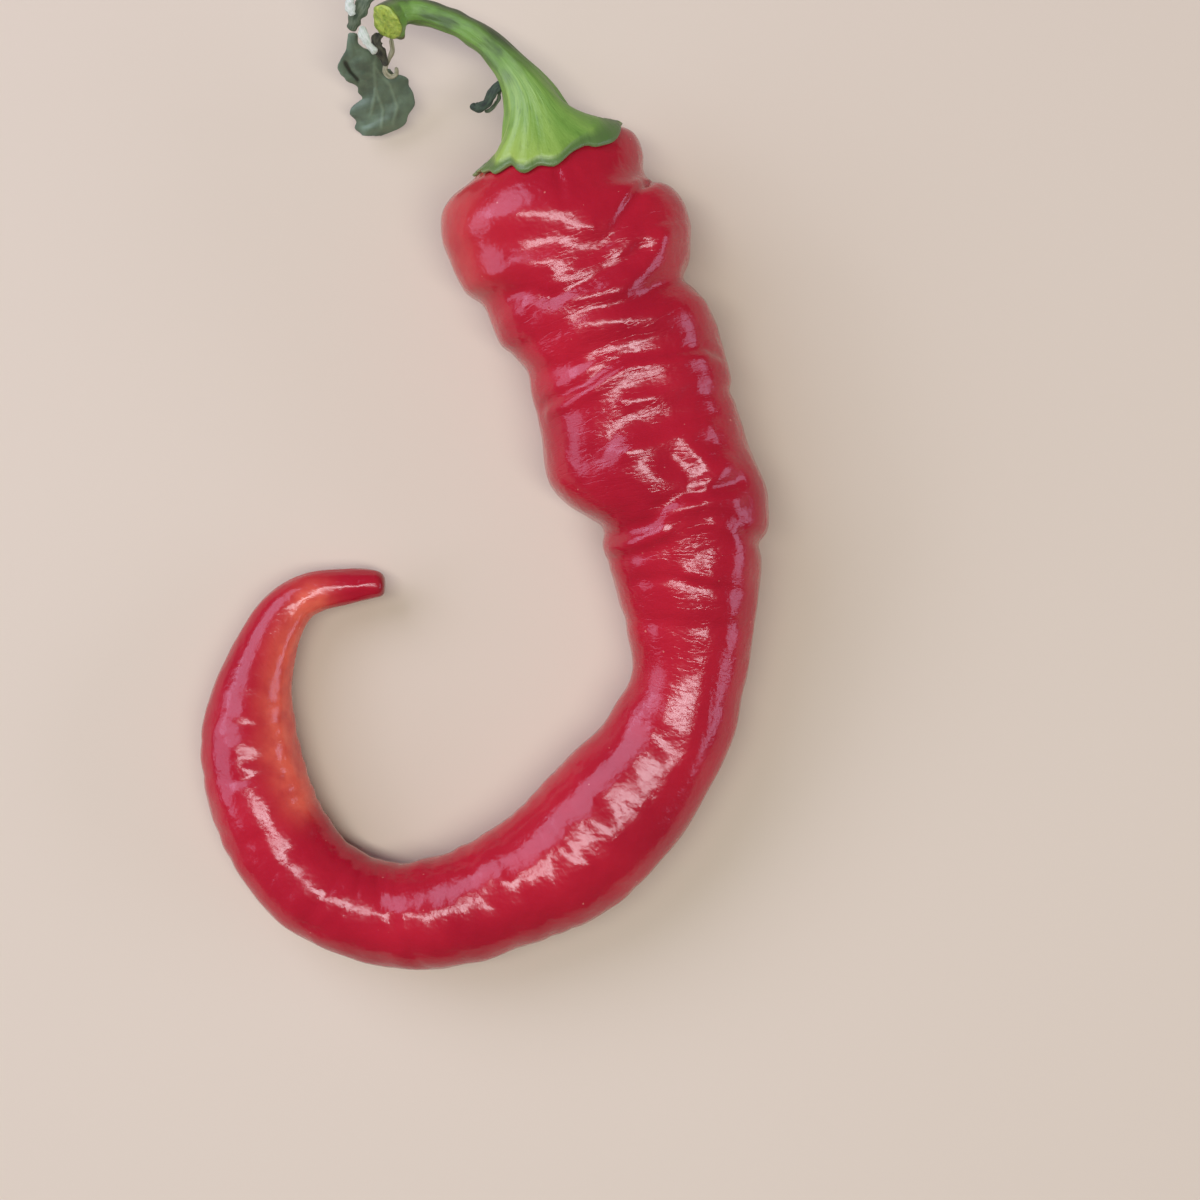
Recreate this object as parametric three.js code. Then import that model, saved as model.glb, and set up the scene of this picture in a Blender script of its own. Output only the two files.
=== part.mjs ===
// A long, slender sweet frying pepper as picked, lying on its side: a folded red pod that hooks round to a
// blunt tip, with its green cap and arched stem, and the torn scraps that came away with it from the plant.
// Millimetres, +Z up from the surface that the pod lies on. The stem end points to +Y, and the hook
// lies at -X.
import * as THREE from "three";

// The clear air between two grown-together pieces, and the least thickness of a thin one.
const PIECE_GAP = 0.35;
const THIN = 0.7;

// The pod, one row for each place along it, from the crown under the cap to the tip:
// x, y of the inner edge, x, y of the outer edge, thickness, height of the belly above the surface.
const POD_ROWS = [
  [9.7, 53.3, 9.7, 53.3, 0, 16.4],
  [4, 51.6, 15.6, 55.7, 9.5, 11.3],
  [0, 50.2, 20.4, 57.8, 16.6, 6.3],
  [-3.1, 47.7, 23.4, 57.4, 21.3, 3.3],
  [-5.2, 46, 25, 56, 25, 1],
  [-6.4, 44, 25.9, 53.5, 28, -0.7],
  [-6.6, 41.6, 26, 50.9, 29.5, -1.1],
  [-6.3, 39.2, 27.1, 49.2, 30.3, -1.2],
  [-5.4, 36.6, 30.5, 48, 30.3, -0.9],
  [-4.4, 34.1, 32.6, 45.5, 29.7, -0.5],
  [-2.7, 31.7, 33.4, 42.6, 28.6, 0.1],
  [0.3, 29.2, 33.5, 40.5, 28.4, 0.2],
  [2.7, 23.2, 33.2, 34.4, 27.6, 0.5],
  [5.1, 20.8, 34.3, 31.7, 27.3, 0.6],
  [7.6, 15.2, 38, 25.3, 27.2, 0.4],
  [9.4, 9.3, 39.9, 18.3, 27.4, -0.2],
  [10.3, 2.6, 41.6, 10.1, 27.8, -0.7],
  [11.6, -0.4, 42.9, 6.1, 27.6, -0.7],
  [14, -2.8, 44.4, 2.4, 26.9, -0.3],
  [17.2, -4.8, 45.6, -1.9, 25.8, 0.3],
  [19.1, -7.2, 45.8, -5.9, 24.8, 0.6],
  [19.8, -10.5, 44.7, -9.8, 23.6, 0.9],
  [22, -18, 44.1, -18.9, 21.4, 1.2],
  [24, -26.9, 42.9, -28.8, 19, 1.3],
  [23.7, -30.9, 41.8, -33.5, 18.6, 1.1],
  [21.7, -34.2, 40.4, -40.2, 18.8, 0.7],
  [18.8, -38.6, 36.3, -48.8, 19.4, 0.1],
  [14.2, -42.8, 31, -57.4, 20, -0.3],
  [9.6, -47.8, 23.6, -65.3, 20, -0.2],
  [4.5, -53.1, 15.6, -70.7, 19.2, 0.3],
  [-1.2, -56.9, 6.1, -74.2, 18.2, 0.6],
  [-6.6, -59.4, -2.8, -77, 17.4, 0.8],
  [-13.4, -60.8, -12.7, -77.9, 16.6, 0.8],
  [-17.6, -60, -22.9, -75.8, 16.2, 0.6],
  [-22.2, -57.5, -32.1, -71, 16, 0.3],
  [-25.8, -53, -38.7, -63.7, 15.8, 0],
  [-28.3, -47.8, -43.7, -54, 15.6, -0.3],
  [-30.1, -42.5, -45.6, -45, 14.8, -0.3],
  [-31.1, -37.9, -45.8, -38.9, 13.8, -0.1],
  [-31.5, -32.7, -43.6, -30.6, 11.8, 0.5],
  [-30.6, -25.9, -39.8, -22.6, 9.4, 1.4],
  [-28.7, -21.6, -35.5, -16.9, 8, 2],
  [-26.7, -20.1, -29.6, -13.6, 7, 2.5],
  [-22.2, -18.9, -22.9, -12.8, 6.1, 3.1],
  [-18.3, -18, -18.6, -13.1, 5, 3.7],
  [-16.9, -17, -16.9, -14.2, 3, 4.7],
  [-16.3, -15.7, -16.3, -15.7, 0, 6.2],
];

// The pod's folds as seen from above: how far the skin rises at the start and at the end of the line (a
// crease is below 0), how wide it is on the left and on the right of the line, and the x, y that it runs by.
const FOLDS = [
  // The deep tuck under the crown on the outer side, and the broad waist that it fades into.
  {
    rise: [-1.3, -0.25], wide: [2, 0.8], line: [
      [26, 47.7], [24.7, 46.1], [23.5, 44.1], [21.9, 41.4], [20.5, 38.9], [18.8, 36.8],
    ],
  },
  {
    rise: [-0.7, -0.35], wide: [2.6, 2.6], line: [
      [18.8, 36.5], [14.1, 37.1], [8.7, 38], [3.2, 37.4], [-2.2, 35.5],
    ],
  },
  // A short seam down the crown from the cap.
  { rise: [-0.4, -0.2], wide: [1, 1], line: [[12, 48.6], [12.7, 46.4], [13, 43.6]] },
  // The slanting folds of the shoulder.
  {
    rise: [0.35, 0.55], wide: [1.7, 1.7], line: [
      [-1.4, 31.5], [2.5, 32.3], [7.1, 33.7], [10.7, 34.6], [14.9, 37.3], [17.2, 39.3],
    ],
  },
  {
    rise: [-0.35, -0.6], wide: [1.1, 1.1], line: [
      [5.6, 29.8], [8.7, 30.1], [11.3, 29], [14.1, 30.1], [16.9, 31.2], [19.6, 32.9], [22.7, 34.5],
      [25, 36.7],
    ],
  },
  {
    rise: [0.9, 0.4], wide: [1.8, 1.8], line: [
      [28.1, 38.3], [27.4, 35.7], [25, 33.1], [21.9, 30.3], [18.8, 29], [14.1, 27.8],
    ],
  },
  {
    rise: [-1, -0.4], wide: [1.4, 1.4], line: [
      [33.2, 33.9], [30.1, 32.1], [27.4, 30.5], [25.1, 28.6], [20.4, 27.7], [14.9, 27.1], [10.2, 28.9],
    ],
  },
  {
    rise: [0.7, 0.7], wide: [1.7, 1.7], line: [
      [34.4, 28.8], [29.7, 27.3], [26.6, 26.5], [21.9, 25.4], [17.2, 24.4], [15.4, 23.2],
    ],
  },
  { rise: [0.3, 0.35], wide: [1.4, 1.4], line: [[4.7, 26.1], [7.1, 27.4]] },
  // The folds above and below the long thin crease across the middle.
  {
    rise: [-0.55, -0.75], wide: [2.2, 2.2], line: [
      [37.5, 23.4], [32.8, 22.9], [26.6, 22.3], [20.4, 21], [15.7, 19.1], [10.2, 17.6], [6.3, 18.2],
    ],
  },
  {
    rise: [-0.5, -0.5], wide: [1, 1], line: [
      [10.2, 12.8], [13.4, 14.2], [16.5, 15.8], [18.8, 17.3], [22.7, 19.7], [26.6, 20.1], [31.3, 20.8],
      [35.1, 21.5], [37.8, 20.9],
    ],
  },
  {
    rise: [0.4, 0.35], wide: [1.1, 1.1], line: [
      [11.5, 11.9], [14.6, 13.1], [18, 14.7], [20.4, 16.6], [23.5, 18.6], [26.9, 19], [31.3, 19.7],
      [35.1, 20.3],
    ],
  },
  { rise: [0.35, 0.25], wide: [1.1, 1.1], line: [[22.7, 12.7], [25.8, 13.4], [30, 13.7]] },
  { rise: [-0.6, -0.2], wide: [1.2, 1.2], line: [[40.8, 15.7], [37.6, 14.6], [34.5, 14.3], [30.1, 13.4]] },
  {
    rise: [-0.4, -0.4], wide: [2, 2], line: [
      [18.8, 5], [21.1, 7.5], [25, 8.5], [28.9, 9.4], [32.8, 10.8], [36.7, 11.6],
    ],
  },
  // The knot of small humps and dimples over the widest bulge.
  { rise: [0.5, 0.5], wide: [1.5, 1.5], line: [[22.7, 5], [25, 5.9], [28.9, 6.8], [31.2, 8.1], [35.1, 9]] },
  { rise: [0.6, 0.6], wide: [3, 3], line: [[23.9, 4.5], [25.9, 1.4]] },
  { rise: [-0.7, -0.6], wide: [2.4, 2.4], line: [[30.3, 3.4], [32.8, 1.3]] },
  { rise: [0.45, 0.45], wide: [1.6, 1.6], line: [[32.8, 5.8], [35.6, 3.5]] },
  { rise: [0.5, 0.5], wide: [1.5, 1.5], line: [[38.4, 3.1], [36.3, 0.8], [35.1, -0.3]] },
  {
    rise: [-0.5, -0.5], wide: [1.1, 1.1], line: [
      [39.9, 0.4], [37.8, -0.4], [35.2, -1.1], [32.8, -1.5], [30.5, -2.4], [28.2, -3.6],
    ],
  },
  {
    rise: [0.45, 0.45], wide: [1.2, 1.2], line: [
      [39.6, -2.4], [37.5, -2.1], [34.4, -2.9], [32.8, -3.3], [29.4, -4.3], [28.8, -6.8],
    ],
  },
  // The sharp narrowing below the bulge, on both flanks.
  { rise: [-1.2, -0.35], wide: [2, 1.4], line: [[18.8, -6.7], [21.9, -7.8], [25.1, -6.7], [28.2, -5.2]] },
  { rise: [0.35, 0.3], wide: [1.1, 1.1], line: [[21.6, -9.6], [25.1, -8.6], [29.4, -7.4]] },
  { rise: [-0.3, -0.3], wide: [1.1, 1.1], line: [[20.7, -11.7], [25.1, -10.8], [29, -9.6]] },
  { rise: [-0.8, -0.2], wide: [1.3, 1.3], line: [[45.3, -9.3], [41.7, -7.4], [38.6, -5.4], [34.6, -4.7]] },
  { rise: [0.3, 0.3], wide: [1, 1], line: [[36.4, -5.9], [39.7, -6.6]] },
  { rise: [0.35, 0.35], wide: [1.1, 1.1], line: [[32.6, -13.8], [36.4, -14.9]] },
  { rise: [-0.3, -0.3], wide: [1.1, 1.1], line: [[25.1, -14.9], [29.8, -14.5], [34.5, -15.5], [40, -16.7]] },
  { rise: [-0.3, -0.3], wide: [1.5, 1.5], line: [[22, -21.2], [28.3, -21.5], [34.6, -22.4], [40.9, -21.9]] },
  { rise: [-0.4, -0.4], wide: [2.4, 2.4], line: [[26, -38.2], [29.6, -41.1]] },
];
// How far down the flanks those folds reach: all of them at the first height, none at the second, where the
// top of a section is 1 and the belly is -1.
const FOLDS_FADE = [0, -0.8];

// The folds of the belly, which lies against the surface: a seeded draw between two rows of the pod.
const BELLY_FOLDS = 15;
const BELLY_FIRST_ROW = 5;
const BELLY_LAST_ROW = 21;
const BELLY_DEPTH = [0.35, 0.8];
const BELLY_WIDE = [1.1, 2.2];
const BELLY_SLANT = 0.8;
const SEED = 11;

// The rings of the pod's mesh stand closer together on its folded half than on its smooth one.
const POD_SIDES = 40;
const FOLDED_LENGTH = 94;
const FOLDED_STEP = 1.7;
const SMOOTH_STEP = 3.4;

// The stem, from the cap to the torn end: x, y, z of its middle and its radius.
const STEM_ROWS = [
  [9.8, 54.2, 19.2, 6.9],
  [9.6, 55.4, 19.7, 6.5],
  [9, 57.6, 20.4, 5.8],
  [8.1, 60.2, 21.1, 4.8],
  [6.5, 63.2, 21.8, 3.6],
  [4.5, 65.9, 22.2, 2.7],
  [1.8, 68.8, 22.5, 2.2],
  [-1.1, 71, 22.6, 2],
  [-4.4, 72.8, 22.5, 1.95],
  [-7.8, 74.1, 22.2, 2],
  [-10.8, 74.6, 22, 2.15],
  [-13.1, 74, 22.5, 2.5],
  [-14.5, 72.6, 23.8, 2.7],
];
const STEM_SIDES = 32;
const STEM_STEPS_A_ROW = 2;
const STEM_RIBS = 5;
const STEM_RIB_HEIGHT = 0.05;

// The cap's rim, as a number of rows down the pod: at the flanks, and how much further it reaches over the
// top and under the belly. Its teeth and bays: angle round the rim in degrees, reach in rows, width.
const RIM_AT_FLANKS = 1.9;
const RIM_OVER_TOP = 2.75;
const RIM_OVER_TOP_BEND = 2.4;
const RIM_UNDER_BELLY = 0.2;
const RIM_THICK = 0.8;
const RIM_TEETH = [
  [178, 0.5, 10],
  [127, -0.35, 12],
  [101, 0.2, 7],
  [81, 0.3, 8],
  [48, 1.1, 16],
  [4, 0.4, 12],
  [222, 0.4, 12],
  [270, 0.4, 13],
  [320, 0.4, 12],
];

// Where the funnel leaves the cap, as a share of the rim's reach: at the flanks, and how much nearer the rim
// it comes over the top, from one height round the crown on. It runs straight to its last ring, the neck.
const FUNNEL_AT_FLANKS = 0.49;
const FUNNEL_OVER_TOP = 0.42;
const FUNNEL_TOP_FROM = 0.62;
const FUNNEL_RINGS = 9;
const FUNNEL_LIFT = 0.3;

// The withered leaf that hangs from the torn end: x, y of one edge, x, y of the other, and its height.
const LEAF_ROWS = [
  [-20.9, 71.7, -19.6, 71.5, 19.6],
  [-21.2, 70.5, -19.7, 70.6, 18.6],
  [-21.6, 69.5, -19.2, 70.1, 17.4],
  [-22.5, 68.2, -17.9, 69.6, 16],
  [-22.7, 66.9, -16.6, 68.8, 14.4],
  [-22.2, 66, -15.8, 67.6, 12.8],
  [-21.2, 65.3, -14.5, 67.4, 11.3],
  [-20.2, 64.6, -12.8, 66.7, 9.9],
  [-20.4, 63.4, -11.9, 65.6, 8.5],
  [-21.5, 62.2, -11.9, 63.9, 7.2],
  [-21.3, 61, -12.4, 62.1, 6],
  [-21, 60, -13.5, 60.5, 5],
  [-21, 59.2, -15.4, 59.2, 4.2],
  [-19.9, 58.5, -17.6, 58.5, 3.6],
];
const LEAF_ACROSS = 8;
const LEAF_STEPS_A_ROW = 2;
const LEAF_CUP = 1.1;
const LEAF_WAVE = 0.35;
const LEAF_RAGGED = 0.35;

// The strips and threads torn off with the stem: the x, y, z that each runs by, its widths along the way,
// its thickness, and the colour and roughness of its material.
const STRIPS = {
  side_bract: {
    line: [
      [1.8, 64.3, 21.8], [1.6, 62.9, 21.4], [1.4, 61.6, 20.8], [0.6, 60.5, 20], [-0.7, 60, 19.2],
      [-1.7, 60.6, 18.8],
    ],
    wide: [0.7, 1.3, 1.6, 1.5, 1.6, 0.9],
    thick: THIN,
    colour: 0x3d5a3c,
    roughness: 0.7,
  },
  torn_bark: {
    line: [
      [-16.3, 77, 23.9], [-18, 75.8, 23.8], [-19.1, 74.2, 23.2], [-19.9, 72.9, 21.8],
      [-20.5, 71.9, 20.6],
    ],
    wide: [1.2, 2.4, 2.7, 2.2, 1.2],
    thick: 0.9,
    colour: 0x55664a,
    roughness: 0.8,
  },
  withered_strip: {
    line: [
      [-16.1, 71.5, 20.6], [-16.5, 70, 20.6], [-16.1, 68.9, 20.2], [-15.5, 67.8, 19.4],
      [-15.1, 66.6, 18.8],
    ],
    wide: [1.6, 1.9, 1.7, 1.2, 0.8],
    thick: THIN,
    colour: 0x3f3f2c,
    roughness: 0.85,
  },
  pale_strip_long: {
    line: [[-18.6, 72.1, 22.6], [-18.3, 70.7, 22.7], [-17.5, 69.3, 22.2], [-16.5, 68, 21.4]],
    wide: [1, 1.4, 1.2, 1],
    thick: THIN,
    colour: 0xc9d3b4,
    roughness: 0.75,
  },
  pale_strip_short: {
    line: [[-19.8, 73.3, 24.4], [-20.2, 74.6, 24.7], [-20.4, 76.2, 24.5]],
    wide: [0.9, 1.6, 1.1],
    thick: THIN,
    colour: 0xd6d6c6,
    roughness: 0.75,
  },
  curled_thread: {
    line: [
      [-14.3, 71, 19.2], [-14.2, 69.3, 18.2], [-14.9, 67.9, 17.3], [-15.5, 66.5, 16.5],
      [-14.7, 65.5, 16.1], [-13.8, 65.9, 16.1], [-13.7, 67, 16.4],
    ],
    wide: [0.7, 0.8, 0.8, 0.8, 0.8, 0.7, 0.7],
    thick: THIN,
    colour: 0xb3ad7c,
    roughness: 0.8,
  },
};
const STRIP_SIDES = 6;
const STRIP_STEPS_A_POINT = 2;

// A smooth step from 0 to 1 as v goes from a to b.
const ease = (v, a, b) => {
  const t = Math.min(1, Math.max(0, (v - a) / (b - a)));
  return t * t * (3 - 2 * t);
};

// A row of numbers between the rows of a table, on one smooth curve through all of them.
function rowAt(rows, place) {
  const last = rows.length - 1;
  const i = Math.min(last - 1, Math.max(0, Math.floor(place)));
  const t = place - i;
  const before = rows[Math.max(0, i - 1)];
  const from = rows[i];
  const to = rows[i + 1];
  const after = rows[Math.min(last, i + 2)];
  return from.map((v, n) => {
    const slope = (to[n] - before[n]) / 2;
    const slopeNext = (after[n] - v) / 2;
    const rest = to[n] - v;
    return v + t * (slope + t * (3 * rest - 2 * slope - slopeNext + t * (slope + slopeNext - 2 * rest)));
  });
}

// Numbers from 0 to 1 that come out the same each time.
function seeded(seed) {
  let state = seed;
  return () => {
    state = (state * 1664525 + 1013904223) % 4294967296;
    return state / 4294967296;
  };
}

// The belly's folds run from the inner to the outer edge, a little slanted.
function bellyFolds() {
  const draw = seeded(SEED);
  const between = ([a, b]) => a + (b - a) * draw();
  return Array.from({ length: BELLY_FOLDS }, (_, k) => {
    const span = BELLY_LAST_ROW - BELLY_FIRST_ROW;
    const place = BELLY_FIRST_ROW + (span * (k + 0.7 * draw())) / BELLY_FOLDS;
    const slant = BELLY_SLANT * (draw() - 0.3);
    const start = rowAt(POD_ROWS, place + slant);
    const end = rowAt(POD_ROWS, place - slant);
    const depth = between(BELLY_DEPTH);
    const wide = between(BELLY_WIDE);
    return {
      rise: [-depth, -depth * draw()],
      wide: [wide, wide],
      line: [
        [start[0], start[1]],
        [(start[0] + end[2]) / 2, (start[1] + end[3]) / 2 - 2 * draw()],
        [end[2], end[3]],
      ],
    };
  });
}
const BELLY = bellyFolds();

// How far one fold lifts or sinks the skin at x, y.
function foldRise(fold, x, y) {
  const { line, rise, wide } = fold;
  let near = Infinity;
  let rising = 0;
  let across = wide[0];
  for (let k = 0; k + 1 < line.length; k++) {
    const [ax, ay] = line[k];
    const dx = line[k + 1][0] - ax;
    const dy = line[k + 1][1] - ay;
    const t = Math.min(1, Math.max(0, ((x - ax) * dx + (y - ay) * dy) / (dx * dx + dy * dy)));
    const away = Math.hypot(x - ax - t * dx, y - ay - t * dy);
    if (away < near) {
      near = away;
      rising = rise[0] + ((rise[1] - rise[0]) * (k + t)) / (line.length - 1);
      across = dx * (y - ay) - dy * (x - ax) > 0 ? wide[0] : wide[1];
    }
  }
  return rising * Math.exp(-((near / across) ** 2));
}

// The pod before its folds: a point of the section at a place along it and an angle round it, where 0 is the
// outer edge and a quarter turn is the top.
function podForm(place, angle) {
  const [ax, ay, bx, by, thick, lift] = rowAt(POD_ROWS, place);
  const out = Math.cos(angle);
  return new THREE.Vector3(
    (ax + bx + (bx - ax) * out) / 2,
    (ay + by + (by - ay) * out) / 2,
    lift + (thick / 2) * (1 + Math.sin(angle)),
  );
}

function podNormal(place, angle) {
  const small = 0.01;
  const low = Math.min(Math.max(place, 0.05), POD_ROWS.length - 1.05);
  const round = podForm(low, angle + small).sub(podForm(low, angle - small));
  const along = podForm(low + small, angle).sub(podForm(low - small, angle));
  return round.cross(along).normalize();
}

// A point of the finished skin, or one at a distance off it.
function podPoint(place, angle, off = 0) {
  const p = podForm(place, angle);
  const height = Math.sin(angle);
  const ends = ease(place, 0.4, 2.5) * ease(POD_ROWS.length - 1 - place, 0.4, 2.5);
  const seen = ease(height, FOLDS_FADE[1], FOLDS_FADE[0]);
  let rise = 0;
  for (const fold of FOLDS) rise += seen * foldRise(fold, p.x, p.y);
  for (const fold of BELLY) rise += ease(height, -0.1, -0.5) * foldRise(fold, p.x, p.y);
  p.addScaledVector(podNormal(place, angle), rise * ends + off);
  p.z = Math.max(0, p.z);
  return p;
}

// A closed mesh through rings of points, with a single point at either end.
function loft(first, rings, last) {
  const sides = rings[0].length;
  const points = [first, ...rings.flat(), last];
  const faces = [];
  const at = (ring, side) => 1 + ring * sides + (side % sides);
  for (let side = 0; side < sides; side++) {
    faces.push(0, at(0, side + 1), at(0, side));
    for (let ring = 0; ring + 1 < rings.length; ring++) {
      faces.push(at(ring, side), at(ring, side + 1), at(ring + 1, side));
      faces.push(at(ring, side + 1), at(ring + 1, side + 1), at(ring + 1, side));
    }
    faces.push(at(rings.length - 1, side), at(rings.length - 1, side + 1), points.length - 1);
  }
  const geometry = new THREE.BufferGeometry().setFromPoints(points);
  geometry.setIndex(faces);
  geometry.computeVertexNormals();
  return geometry;
}

const turn = (side, sides) => (2 * Math.PI * side) / sides;

// The places of the pod's rings, evenly stepped along its length.
function podPlaces() {
  const middle = (place) => podForm(place, 0).add(podForm(place, Math.PI)).multiplyScalar(0.5);
  const fine = 0.02;
  const places = [];
  let gone = 0;
  let since = 0;
  for (let place = 0.35; place < POD_ROWS.length - 1.2; place += fine) {
    const step = middle(place + fine).distanceTo(middle(place));
    const radius = podForm(place, 0).distanceTo(podForm(place, Math.PI)) / 2;
    const before = podForm(place - fine, 0).distanceTo(podForm(place - fine, Math.PI)) / 2;
    gone += step;
    since += Math.hypot(step, radius - before);
    if (since >= (gone < FOLDED_LENGTH ? FOLDED_STEP : SMOOTH_STEP)) {
      places.push(place);
      since = 0;
    }
  }
  return [...places, POD_ROWS.length - 1.6, POD_ROWS.length - 1.25];
}

function podGeometry() {
  const rings = podPlaces().map((place) =>
    Array.from({ length: POD_SIDES }, (_, side) => podPoint(place, turn(side, POD_SIDES))),
  );
  return loft(podForm(0, 0), rings, podForm(POD_ROWS.length - 1, 0));
}

// Rings of points round a line, kept from twisting. The shape gives a point's offsets across and up.
function ringsAlong(middles, across, sides, shape) {
  const rings = [];
  const side = across.clone();
  middles.forEach((middle, k) => {
    const ahead = middles[Math.min(k + 1, middles.length - 1)].clone();
    const heading = ahead.sub(middles[Math.max(k - 1, 0)]).normalize();
    side.addScaledVector(heading, -side.dot(heading)).normalize();
    const up = new THREE.Vector3().crossVectors(side, heading);
    rings.push(
      Array.from({ length: sides }, (_, n) => {
        const [u, v] = shape(k, turn(n, sides));
        return middle.clone().addScaledVector(side, u).addScaledVector(up, v);
      }),
    );
  });
  return rings;
}

// The place of the cap's rim on the pod, at an angle round it.
function rimPlace(angle) {
  const height = Math.sin(angle);
  const over = RIM_OVER_TOP * Math.max(0, height) ** RIM_OVER_TOP_BEND;
  const reach = RIM_AT_FLANKS + over + RIM_UNDER_BELLY * Math.max(0, -height);
  return RIM_TEETH.reduce((sum, [degrees, tooth, wide]) => {
    const off = THREE.MathUtils.euclideanModulo(THREE.MathUtils.radToDeg(angle) - degrees + 180, 360) - 180;
    return sum + tooth * Math.exp(-((off / wide) ** 2));
  }, reach);
}

// Where the funnel leaves the cap, at an angle round it, as a share of the rim's reach.
const funnelShare = (angle) => FUNNEL_AT_FLANKS + FUNNEL_OVER_TOP * ease(Math.sin(angle), FUNNEL_TOP_FROM, 1);

// Cap and stem grew as one piece: from the rough face where it tore off the plant down the ribbed stem and
// the funnel, over the outside of the cap to its toothed rim, and back up its inside to the crown.
function stemGeometry() {
  const ring = (shareAt, off) =>
    Array.from({ length: STEM_SIDES }, (_, n) => {
      const angle = turn(n, STEM_SIDES);
      return podPoint(shareAt(angle) * rimPlace(angle), angle, off);
    });
  const inside = [0.1, 0.25, 0.4, 0.55, 0.7, 0.85, 1].map((share) => ring(() => share, PIECE_GAP));
  const outside = [
    ring(() => 1, PIECE_GAP + RIM_THICK * 0.8),
    ring((angle) => (1 + funnelShare(angle)) / 2, PIECE_GAP + RIM_THICK),
    ring(funnelShare, PIECE_GAP + RIM_THICK + FUNNEL_LIFT),
  ];
  const rows = (STEM_ROWS.length - 1) * STEM_STEPS_A_ROW;
  const places = Array.from({ length: rows + 1 }, (_, k) => rowAt(STEM_ROWS, k / STEM_STEPS_A_ROW));
  const middles = places.map(([x, y, z]) => new THREE.Vector3(x, y, z));
  const across = podForm(3, 0).sub(podForm(3, Math.PI));
  const stem = ringsAlong(middles, across, STEM_SIDES, (k, angle) => {
    const ribs = 1 + STEM_RIB_HEIGHT * Math.cos(STEM_RIBS * angle);
    const radius = places[k][3] * ribs;
    return [radius * Math.cos(angle), radius * Math.sin(angle)];
  });
  const neck = stem[FUNNEL_RINGS];
  for (let k = 0; k < FUNNEL_RINGS; k++) {
    const share = (k + 1) / FUNNEL_RINGS;
    stem[k] = stem[k].map((p, n) => outside.at(-1)[n].clone().lerp(neck[n], share).lerp(p, share));
  }
  const end = middles.at(-1);
  const heading = end.clone().sub(middles.at(-2)).normalize();
  const lip = stem.at(-1).map((p) => p.clone().lerp(end, 0.28).addScaledVector(heading, 0.5));
  const rings = [...inside, ...outside, ...stem, lip].reverse();
  return loft(end.clone().addScaledVector(heading, 0.7), rings, podPoint(0, 0, PIECE_GAP));
}

// A thin closed blade between two edges, cupped along its middle and waved, with a ragged margin.
function leafGeometry() {
  const draw = seeded(SEED);
  const steps = (LEAF_ROWS.length - 1) * LEAF_STEPS_A_ROW;
  const grid = [];
  for (let k = 0; k <= steps; k++) {
    const [ax, ay, bx, by, z] = rowAt(LEAF_ROWS, k / LEAF_STEPS_A_ROW);
    const a = new THREE.Vector3(ax, ay, z);
    const b = new THREE.Vector3(bx, by, z);
    const wide = a.distanceTo(b);
    const ragged = wide > 4 ? LEAF_RAGGED : 0;
    const cut = [draw() * ragged, draw() * ragged];
    const row = [];
    for (let n = 0; n <= LEAF_ACROSS; n++) {
      const share = (cut[0] + (n / LEAF_ACROSS) * (wide - cut[0] - cut[1])) / wide;
      const p = a.clone().lerp(b, share);
      const off = 2 * share - 1;
      const full = Math.min(1, wide / 6);
      p.z += full * (LEAF_CUP * (1 - off * off) - LEAF_CUP / 2 + LEAF_WAVE * Math.sin(0.9 * k + 3 * off));
      row.push(p);
    }
    grid.push(row);
  }
  const across = LEAF_ACROSS + 1;
  const normal = (k, n) => {
    const along = grid[Math.min(k + 1, steps)][n].clone().sub(grid[Math.max(k - 1, 0)][n]);
    const over = grid[k][Math.min(n + 1, LEAF_ACROSS)].clone().sub(grid[k][Math.max(n - 1, 0)]);
    return over.cross(along).normalize();
  };
  const moved = (p, k, n, off) => p.clone().addScaledVector(normal(k, n), off);
  const face = (off) => grid.flatMap((row, k) => row.map((p, n) => moved(p, k, n, off)));
  const points = [...face(THIN / 2), ...face(-THIN / 2)];
  const under = (steps + 1) * across;
  const faces = [];
  const quad = (a, b, c, d) => faces.push(a, b, c, a, c, d);
  for (let k = 0; k < steps; k++)
    for (let n = 0; n < LEAF_ACROSS; n++) {
      const [a, b] = [k * across + n, (k + 1) * across + n];
      faces.push(a, a + 1, b, a + 1, b + 1, b);
      faces.push(under + a, under + b, under + a + 1, under + a + 1, under + b, under + b + 1);
    }
  for (let n = 0; n < LEAF_ACROSS; n++) {
    const b = steps * across + n;
    quad(n + 1, n, under + n, under + n + 1);
    quad(b, b + 1, under + b + 1, under + b);
  }
  for (let k = 0; k < steps; k++) {
    const [a, b] = [k * across, (k + 1) * across];
    quad(a, b, under + b, under + a);
    quad(b + LEAF_ACROSS, a + LEAF_ACROSS, under + a + LEAF_ACROSS, under + b + LEAF_ACROSS);
  }
  const geometry = new THREE.BufferGeometry().setFromPoints(points);
  geometry.setIndex(faces);
  geometry.computeVertexNormals();
  return geometry;
}

// A flat strip or a thread along its line, its section a flattened round.
function stripGeometry({ line, wide, thick }) {
  const rows = line.map((p, k) => [...p, wide[k]]);
  const steps = (rows.length - 1) * STRIP_STEPS_A_POINT;
  const places = Array.from({ length: steps + 1 }, (_, k) => rowAt(rows, k / STRIP_STEPS_A_POINT));
  const middles = places.map(([x, y, z]) => new THREE.Vector3(x, y, z));
  const heading = middles[1].clone().sub(middles[0]);
  const across = heading.clone().cross(new THREE.Vector3(0, 0, 1));
  const rings = ringsAlong(middles, across, STRIP_SIDES, (k, angle) => [
    (places[k][3] / 2) * Math.cos(angle),
    (thick / 2) * Math.sin(angle),
  ]);
  const tip = (k, back) => middles.at(k).clone().lerp(middles.at(back), -0.4);
  return loft(tip(-1, -2), rings.reverse(), tip(0, 1));
}

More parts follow.
